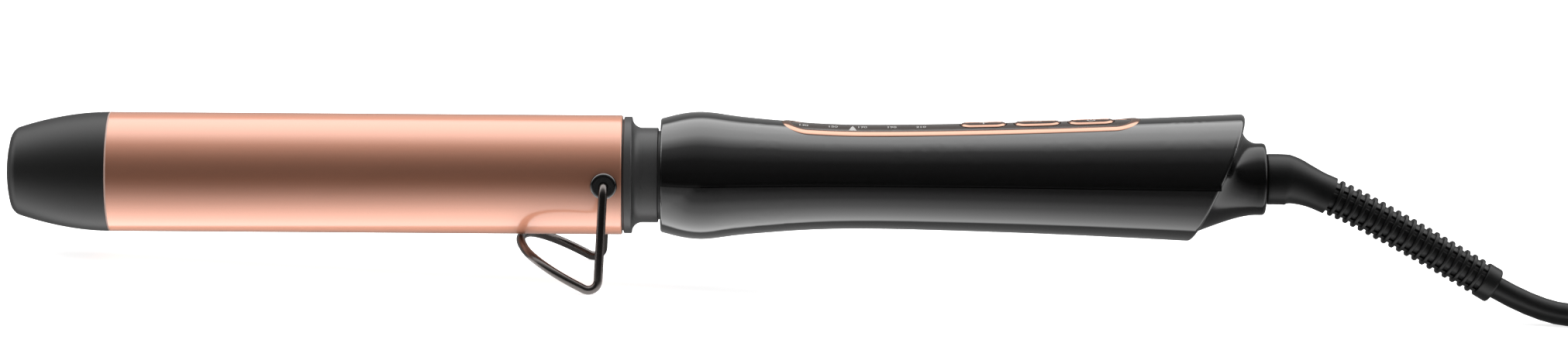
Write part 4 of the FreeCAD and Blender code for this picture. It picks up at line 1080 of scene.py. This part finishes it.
@dataclass
class CableBoot:
    """The angled rubber boot: a plain elbow and a ribbed bend relief with windows between its spines."""

    middle: tuple[Point, ...] = (
        (0.16225, 0.0), (0.1656, 0.0), (0.1688, -0.00025), (0.1721, -0.0013), (0.1761, -0.00295),
        (0.1844, -0.00665), (0.1969, -0.01325), (0.2135, -0.02265), (0.22421, -0.02897),
    )
    root_len: float = 0.0056
    root_r: float = 0.0068
    root_wall: float = 0.003
    edge_r: float = 0.0005
    taper_len: float = 0.0092
    taper_power: float = 1.6
    taper_steps: int = 10
    sleeve_r: float = 0.00512
    ribs: int = 20
    pitch: float = 0.002395
    rib_w: float = 0.001
    rib_r: float = 0.00505
    rib_end_r: float = 0.00485
    rib_round: float = 0.00032
    core_r: float = 0.00355
    spine_r: float = 0.0041
    spine_half_deg: tuple[float, ...] = (41.0, 25.0, 41.0, 25.0)
    spine_shares: tuple[float, ...] = (-1.0, -0.5, 0.0, 0.5, 1.0)
    spine_root: float = 0.8
    spine_round: float = 0.0002
    cap_len: float = 0.0032
    cap_round: float = 0.0006
    mouth_r: float = 0.001
    long_edge: float = 0.002
    steps: int = 64
    steps_per_rib: int = 3

    def build(self, bench: Bench) -> None:
        """Make the boot as one piece: straight first, then bent along its middle line.

        Args:
            bench: Where the piece is finished.
        """
        table = self._table()
        rib_start = table[-1][0] - self.ribs * self.pitch - self.cap_len
        bm = self._straight(rib_start)
        self._add_spines(bm, rib_start)
        self._bend(bm, table)
        bench.piece("cable_boot", bm, BOOT_RUBBER, Body.CORD, ["cord_boot"])

    def _table(self, steps: int = 40) -> list[tuple[float, float, float]]:
        """Measure along the smooth curve through the middle line's points.

        Args:
            steps: Samples of each span.

        Returns:
            Rows of length so far, x and z.
        """
        spans = list(zip(self.middle, self.middle[1:]))
        pitch = [(b[1] - a[1]) / (b[0] - a[0]) for a, b in spans]
        slopes = [pitch[0]] + [(a + b) / 2 for a, b in zip(pitch, pitch[1:])] + [pitch[-1]]
        rows = [(0.0, *self.middle[0])]
        for index, (first, second) in enumerate(spans):
            width = second[0] - first[0]
            for step in range(1, steps + 1):
                t = step / steps
                start = (1 + 2 * t) * (1 - t) ** 2 * first[1] + t * (1 - t) ** 2 * width * slopes[index]
                finish = t * t * (3 - 2 * t) * second[1] + t * t * (t - 1) * width * slopes[index + 1]
                x = first[0] + width * t
                length, last_x, last_z = rows[-1]
                rows.append((length + math.hypot(x - last_x, start + finish - last_z), x, start + finish))
        return rows

    def _straight(self, rib_start: float) -> bmesh.types.BMesh:
        """Spin the boot's section with its elbow still straight.

        Args:
            rib_start: Where the ribs begin.

        Returns:
            The boot along x from the origin.
        """
        corners = [(0.0, self.root_r - self.root_wall), (0.0, self.root_r), (self.root_len, self.root_r)]
        bends = {1: self.edge_r}
        for step in range(1, self.taper_steps + 1):
            share = step / self.taper_steps
            fall = (self.root_r - self.sleeve_r) * (1 - (1 - share) ** self.taper_power)
            corners.append((self.root_len + self.taper_len * share, self.root_r - fall))
        corners += [(rib_start, self.sleeve_r), (rib_start, self.core_r)]
        for index in range(self.ribs):
            rear = rib_start + self.pitch * (index + 1)
            radius = self.rib_r + (self.rib_end_r - self.rib_r) * index / self.ribs
            last = index == self.ribs - 1
            rib_end = rear + self.cap_len if last else rear
            bends[len(corners) + 1] = self.rib_round
            bends[len(corners) + 2] = self.cap_round if last else self.rib_round
            corners += [(rear - self.rib_w, self.core_r), (rear - self.rib_w, radius), (rib_end, radius)]
            corners.append((rib_end, self.mouth_r if last else self.core_r))
        bm = section(corners, bends, profile, segments=3)
        outside = [edge for edge in bm.edges if edge.verts[0].co.z > self.core_r]
        long_edges = [edge for edge in outside if edge.calc_length() > self.long_edge]
        bmesh.ops.subdivide_edges(bm, edges=long_edges, cuts=6)
        lathe(bm, self.steps)
        return bm

    def _add_spines(self, bm: bmesh.types.BMesh, rib_start: float) -> None:
        """Add the strips that join the ribs.

        Args:
            bm: The straight boot.
            rib_start: Where the ribs begin.
        """
        low = self.core_r * self.spine_root
        step = Vector((self.pitch / self.steps_per_rib, 0.0, 0.0))
        bends = {0: self.spine_round, len(self.spine_shares) - 1: self.spine_round}
        for index, half_deg in enumerate(self.spine_half_deg):
            turns = [math.radians(half_deg * share) for share in self.spine_shares]
            outer = [(self.spine_r * math.sin(turn), self.spine_r * math.cos(turn)) for turn in turns]
            inner = [(low * math.sin(turn), low * math.cos(turn)) for turn in reversed(turns)]
            strip = section(
                outer + inner, bends, lambda y, z: Vector((rib_start, y, z)), closed=True, segments=3
            )
            draw_out(strip, step, self.ribs * self.steps_per_rib)
            place = Matrix.Rotation(2 * math.pi / len(self.spine_half_deg) * index, 4, "X")
            bmesh.ops.transform(strip, matrix=place, verts=strip.verts)
            mesh = bpy.data.meshes.new("spine")
            strip.to_mesh(mesh)
            strip.free()
            bm.from_mesh(mesh)
            bpy.data.meshes.remove(mesh)

    @staticmethod
    def _bend(bm: bmesh.types.BMesh, table: list[tuple[float, float, float]]) -> None:
        """Bend the straight boot along its middle line.

        Args:
            bm: The straight boot, changed in place.
            table: Rows of length so far, x and z.
        """
        lengths = [row[0] for row in table]
        for vert in bm.verts:
            index = min(max(bisect.bisect_right(lengths, vert.co.x), 1), len(table) - 1)
            (near, x0, z0), (far, x1, z1) = table[index - 1], table[index]
            share = (vert.co.x - near) / (far - near)
            along = Vector((x1 - x0, 0.0, z1 - z0)).normalized()
            out = Vector((-along.z, 0.0, along.x)) * vert.co.z
            vert.co = Vector((x0 + (x1 - x0) * share, vert.co.y, z0 + (z1 - z0) * share)) + out


@dataclass
class MainsCord:
    """The free cord, its put-away coil and the strap round the coil."""

    diameter: float = 0.0062
    length: float = 1.727
    route: tuple[tuple[float, float, float], ...] = (
        (0.19856, 0.0, 0.0097),
        (0.21146, 0.0, 0.0031),
        (0.22646, -0.0016, 0.0031),
        (0.24071, -0.00856, 0.0041),
    )
    centre: tuple[float, float] = (0.27896, 0.0092)
    lift: float = 0.001
    loop_r: float = 0.0392
    pitch: float = 0.0069
    turns_per_layer: int = 2
    layers: int = 4
    start_deg: float = 225.0
    trim_deg: float = 40.0
    lead_r: float = 0.027
    lead_deg: float = 130.0
    lead_climb_deg: float = 75.0
    lead_points: int = 9
    plug_z: float = 0.03495
    points_per_turn: int = 24
    tie_deg: float = 110.0
    tie_w: float = 0.008
    tie_t: float = 0.0009
    tie_slack: float = 0.0005
    tie_round: float = 0.0026
    tie_steps: int = 8

    @staticmethod
    def _ease(t: float) -> float:
        """A smooth step from 0 to 1."""
        t = min(max(t, 0.0), 1.0)
        return t * t * (3 - 2 * t)

    def _wound(self, turn: float) -> Vector:
        """A place on the coil's middle line.

        Args:
            turn: The angle wound so far.

        Returns:
            The place in the row frame.
        """
        layer_turn = self.turns_per_layer * 2 * math.pi
        layer = min(int(turn / layer_turn), self.layers - 1)
        into = turn - layer * layer_turn
        inward = into if layer % 2 == 0 else layer_turn - into
        radius = self.loop_r - self.pitch * inward / (2 * math.pi)
        height = self.diameter / 2 + self.lift
        for step in range(1, self.layers):
            height += self.pitch * self._ease((turn - step * layer_turn) / math.pi + 0.5)
        angle = math.radians(self.start_deg) + turn
        return Vector((
            self.centre[0] + radius * math.cos(angle), self.centre[1] + radius * math.sin(angle), height
        ))

    def points(self) -> list[Vector]:
        """Work out the control points of the whole cord, from the boot to the plug.

        Returns:
            The points in the row frame.
        """
        found = [Vector(p) for p in self.route]
        whole = self.layers * self.turns_per_layer * 2 * math.pi - math.radians(self.trim_deg)
        count = round(whole / (2 * math.pi) * self.points_per_turn)
        bulge = 8 / (6 + 2 * math.cos(2 * math.pi / self.points_per_turn))
        middle = Vector((*self.centre, 0.0))
        for index in range(count + 1):
            place = self._wound(whole * index / count)
            out = (place - middle) * (bulge - 1)
            found.append(place + Vector((out.x, out.y, 0.0)))
        return found + self._lead_out(whole)

    def _lead_out(self, whole: float) -> list[Vector]:
        """The curl from the top layer to the plug.

        Args:
            whole: The angle at which the coil ends.

        Returns:
            Its control points.
        """
        start = self._wound(whole)
        way = start - self._wound(whole - 1e-4)
        heading = math.atan2(way.y, way.x)
        middle = start + Vector((-math.sin(heading), math.cos(heading), 0.0)) * self.lead_r
        sweep = math.radians(self.lead_deg)
        climb = math.radians(self.lead_climb_deg)
        found = []
        for index in range(1, self.lead_points + 1):
            angle = sweep * index / self.lead_points
            out = Vector((math.sin(heading + angle), -math.cos(heading + angle), 0.0))
            place = middle + out * self.lead_r
            place.z = start.z + (self.plug_z - start.z) * self._ease(angle / climb)
            found.append(place)
        last = heading + sweep
        found.append(found[-1] + Vector((math.cos(last), math.sin(last), 0.0)) * self.diameter)
        return found

    def build(self, bench: Bench) -> None:
        """Lay the cord and strap its coil.

        Args:
            bench: Where the pieces are finished.
        """
        points = self.points()
        curve = bpy.data.curves.new("mains_lead", "CURVE")
        curve.dimensions = "3D"
        curve.bevel_depth = self.diameter / 2
        curve.bevel_resolution = 5
        curve.resolution_u = 5
        spline = curve.splines.new("NURBS")
        spline.points.add(len(points) - 1)
        for control, place in zip(spline.points, points):
            control.co = (*place, 1.0)
        spline.order_u = 3
        spline.use_endpoint_u = True
        lead = bpy.data.objects.new("mains_lead", curve)
        bench.adopt(lead, CORD_RUBBER, Body.CORD, ["mains_cord", "cord_coil"])
        tie = self._tie(bench)

    def _tie(self, bench: Bench) -> bpy.types.Object:
        """Bend the woven strap round the coil's turns.

        Args:
            bench: Where the piece is finished.

        Returns:
            The strap.
        """
        into = math.radians(self.tie_deg - self.start_deg) % (2 * math.pi) / (2 * math.pi)
        room = self.diameter / 2 + self.tie_slack
        inner = self.loop_r - self.pitch * (into + self.turns_per_layer - 1) - room
        outer = self.loop_r - self.pitch * (1 - into) + room
        top = self.lift + self.diameter + self.pitch * (self.layers - 1)
        corners = [(inner, self.lift), (outer, self.lift), (outer, top), (inner, top)]
        bend = {index: self.tie_round for index in range(len(corners))}
        bm = section(corners, bend, lambda r, z: Vector((r, -self.tie_w / 2, z)), closed=True)
        draw_out(bm, Vector((0.0, self.tie_w / self.tie_steps, 0.0)), self.tie_steps)
        bmesh.ops.recalc_face_normals(bm, faces=bm.faces)
        bmesh.ops.solidify(bm, geom=bm.faces[:], thickness=-self.tie_t)
        place = Matrix.Translation((*self.centre, 0.0)) @ Matrix.Rotation(math.radians(self.tie_deg), 4, "Z")
        bmesh.ops.transform(bm, matrix=place, verts=bm.verts)
        return bench.piece("coil_strap", bm, TIE_WEBBING, Body.CORD, ["cord_tie"], in_row=True)


@dataclass
class Camera:
    """The photograph's view, set in the tool frame."""

    target_x: float = 0.03304
    target_drop: float = 0.00109
    elevation_deg: float = 10.9
    roll_deg: float = 0.39
    distance: float = 1.66
    view_deg: float = 14.43
    sensor: float = 36.0
    clip_end: float = 20.0

    def build(self, tool: ToolFrame) -> None:
        """Make the scene's camera.

        Args:
            tool: The styler's frame.
        """
        rise = math.radians(self.elevation_deg)
        roll = math.radians(self.roll_deg)
        level_up = Vector((0.0, math.sin(rise), math.cos(rise)))
        along = Vector((1.0, 0.0, 0.0))
        right = along * math.cos(roll) + level_up * math.sin(roll)
        up = level_up * math.cos(roll) - along * math.sin(roll)
        back = Vector((0.0, -math.cos(rise), math.sin(rise)))
        place = along * self.target_x - up * self.target_drop + back * self.distance
        turn = Matrix((right, up, back)).transposed().to_4x4()
        data = bpy.data.cameras.new("photo_view")
        data.sensor_width = self.sensor
        data.lens = self.sensor / 2 / math.tan(math.radians(self.view_deg) / 2)
        data.clip_end = self.clip_end
        camera = bpy.data.objects.new("photo_view", data)
        camera.matrix_world = tool.matrix() @ Matrix.Translation(place) @ turn
        bpy.context.scene.collection.objects.link(camera)
        bpy.context.scene.camera = camera


@dataclass
class Studio:
    """A pale floor and the soft light of a studio: bright above, dim on the viewer's side. The floor also
    carries a painted reflection: a glow that only reflections see, brightest under the styler.
    """

    floor_half: float = 3.0
    floor_colour: Colour = (0.86, 0.86, 0.86)
    paper: float = 0.8
    sky: float = 2.6
    sky_stops: Stops = (
        (-180.0, 0.12), (-90.0, 0.4), (0.0, 0.013), (13.0, 0.016), (38.0, 0.036), (65.0, 0.15), (76.0, 0.42),
        (90.0, 0.88), (110.0, 1.0), (132.0, 0.95), (141.0, 0.12), (180.0, 0.12),
    )
    # Painted reflection on the floor: the glow's strength, above white, its ramp across the floor, its
    # slant, its reach, and its fade along the styler, which dims it towards the handle's rear.
    painted_glow: float = 2.4
    painted_glow_stops: Stops = (
        (-0.3, 0.012), (-0.1, 0.052), (-0.05, 0.17), (-0.028, 0.42), (-0.014, 0.8), (-0.007, 1.0),
        (-0.0045, 1.0), (-0.0035, 0.12), (0.3, 0.1),
    )
    painted_glow_slant: float = 0.03
    painted_glow_reach: Stops = (
        (-0.3, 1.0), (-0.162, 1.0), (-0.06, 0.72), (-0.038, 0.7), (-0.024, 1.0), (0.5, 1.0),
    )
    painted_glow_fade: Stops = (
        (-0.3, 1.0), (-0.03, 1.0), (0.045, 0.86), (0.107, 0.74), (0.13, 0.62), (0.14, 0.66), (0.152, 1.0),
        (0.5, 1.0),
    )

    def build(self) -> None:
        """Set up the floor and the world."""
        self._world()
        self._floor()
        bpy.context.scene.view_settings.view_transform = "Standard"

    @staticmethod
    def _ramp(pen: NodePen, stops: Stops, value: bpy.types.NodeSocket) -> bpy.types.NodeSocket:
        """Add a colour ramp over a range of values.

        Args:
            pen: The tree to add to.
            stops: Pairs of value and brightness.
            value: The output that drives it.

        Returns:
            The ramp's brightness.
        """
        low = stops[0][0]
        high = stops[-1][0]
        span = pen.add("MapRange")
        span.inputs["From Min"].default_value = low
        span.inputs["From Max"].default_value = high
        pen.join(value, span.inputs["Value"])
        ramp = pen.add("ValToRGB")
        elements = ramp.color_ramp.elements
        while len(elements) < len(stops):
            elements.new(0.5)
        for element, (place, _) in zip(elements, stops):
            element.position = (place - low) / (high - low)
        for element, (_, brightness) in zip(elements, stops):
            element.color = (brightness, brightness, brightness, 1.0)
        pen.join(span.outputs["Result"], ramp.inputs["Fac"])
        return ramp.outputs["Color"]

    @staticmethod
    def _plain_view(pen: NodePen) -> bpy.types.NodeSocket:
        """Tell the rays that see the background plain, the camera's and those through glass.

        Args:
            pen: The tree to add to.

        Returns:
            1 for such a ray, and 0 for any other.
        """
        light = pen.add("LightPath")
        return pen.math("MAXIMUM", light.outputs["Is Camera Ray"], light.outputs["Is Transmission Ray"])

    def _world(self) -> None:
        """White to the camera, and a soft overhead sweep to everything else."""
        world = bpy.data.worlds.new("studio")
        world.use_nodes = True
        bpy.context.scene.world = world
        pen = NodePen(world.node_tree)
        world.node_tree.nodes.clear()
        way = pen.add("SeparateXYZ")
        pen.join(pen.add("TexCoord").outputs["Generated"], way.inputs["Vector"])
        toward = pen.math("MULTIPLY", way.outputs["Y"], -1.0)
        angle = pen.math("DEGREES", pen.math("ARCTAN2", way.outputs["Z"], toward))
        sweep = pen.add("Background")
        sweep.inputs["Strength"].default_value = self.sky
        pen.join(self._ramp(pen, self.sky_stops, angle), sweep.inputs["Color"])
        white = pen.add("Background")
        white.inputs["Color"].default_value = (1.0, 1.0, 1.0, 1.0)
        mixed = pen.blend(self._plain_view(pen), sweep.outputs["Background"], white.outputs["Background"])
        pen.join(mixed, pen.add("OutputWorld").inputs["Surface"])

    def _floor(self) -> None:
        """A plain pale floor that stays white to the camera and, in reflections, shows a painted glow that
        shades off away from the styler.
        """
        bm = bmesh.new()
        bmesh.ops.create_grid(bm, x_segments=4, y_segments=4, size=self.floor_half)
        mesh = bpy.data.meshes.new("studio_floor")
        bm.to_mesh(mesh)
        bm.free()
        floor = bpy.data.objects.new("studio_floor", mesh)
        bpy.context.scene.collection.objects.link(floor)
        material = bpy.data.materials.new("studio_floor")
        material.use_nodes = True
        pen = NodePen(material.node_tree)
        material.node_tree.nodes.clear()
        matt = pen.add("BsdfDiffuse")
        matt.inputs["Color"].default_value = (*self.floor_colour, 1.0)
        paper = pen.add("Emission")
        paper.inputs["Strength"].default_value = self.paper
        lit = pen.add("AddShader")
        pen.join(matt.outputs["BSDF"], lit.inputs[0])
        pen.join(paper.outputs["Emission"], lit.inputs[1])
        place = pen.add("SeparateXYZ")
        pen.join(pen.add("TexCoord").outputs["Object"], place.inputs["Vector"])
        # Painted reflection: an emission that glossy rays alone see, graded across the floor and dimmed
        # along x, in place of a pool of light under the styler.
        painted_glow_emission = pen.add("Emission")
        fade = self._ramp(pen, self.painted_glow_fade, place.outputs["X"])
        pen.join(pen.math("MULTIPLY", fade, self.painted_glow), painted_glow_emission.inputs["Strength"])
        slant = pen.math("MULTIPLY", pen.math("MAXIMUM", place.outputs["X"], 0.0), self.painted_glow_slant)
        reach = self._ramp(pen, self.painted_glow_reach, place.outputs["X"])
        across = pen.math("MULTIPLY", pen.math("ADD", place.outputs["Y"], slant), reach)
        pen.join(self._ramp(pen, self.painted_glow_stops, across), painted_glow_emission.inputs["Color"])
        seen = pen.blend(self._plain_view(pen), matt.outputs["BSDF"], lit.outputs["Shader"])
        glossy = pen.add("LightPath").outputs["Is Glossy Ray"]
        whole = pen.blend(glossy, seen, painted_glow_emission.outputs["Emission"])
        pen.join(whole, pen.add("OutputMaterial").inputs["Surface"])
        mesh.materials.append(material)


def main() -> None:
    """Load the frame, dress it and build every piece."""
    logging.basicConfig(level=logging.INFO)
    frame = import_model()
    tool = ToolFrame.from_joints(frame["joints"])
    shop = FinishShop()
    bench = Bench(tool, shop)
    Camera().build(tool)
    MainsCord().build(bench)
    Studio().build()
    for finish, names in KEPT_NODES.items():
        for name in names:
            shop.dress(frame["nodes"][name], finish)
            LOG.info("node %s has finish %s", name, finish.name)
    Barrel().build(bench)
    CoolTip().build(bench)
    ControlPanel().build(bench)
    ShellSeam().build(bench)
    CableBoot().build(bench)


if __name__ == "__main__":
    main()
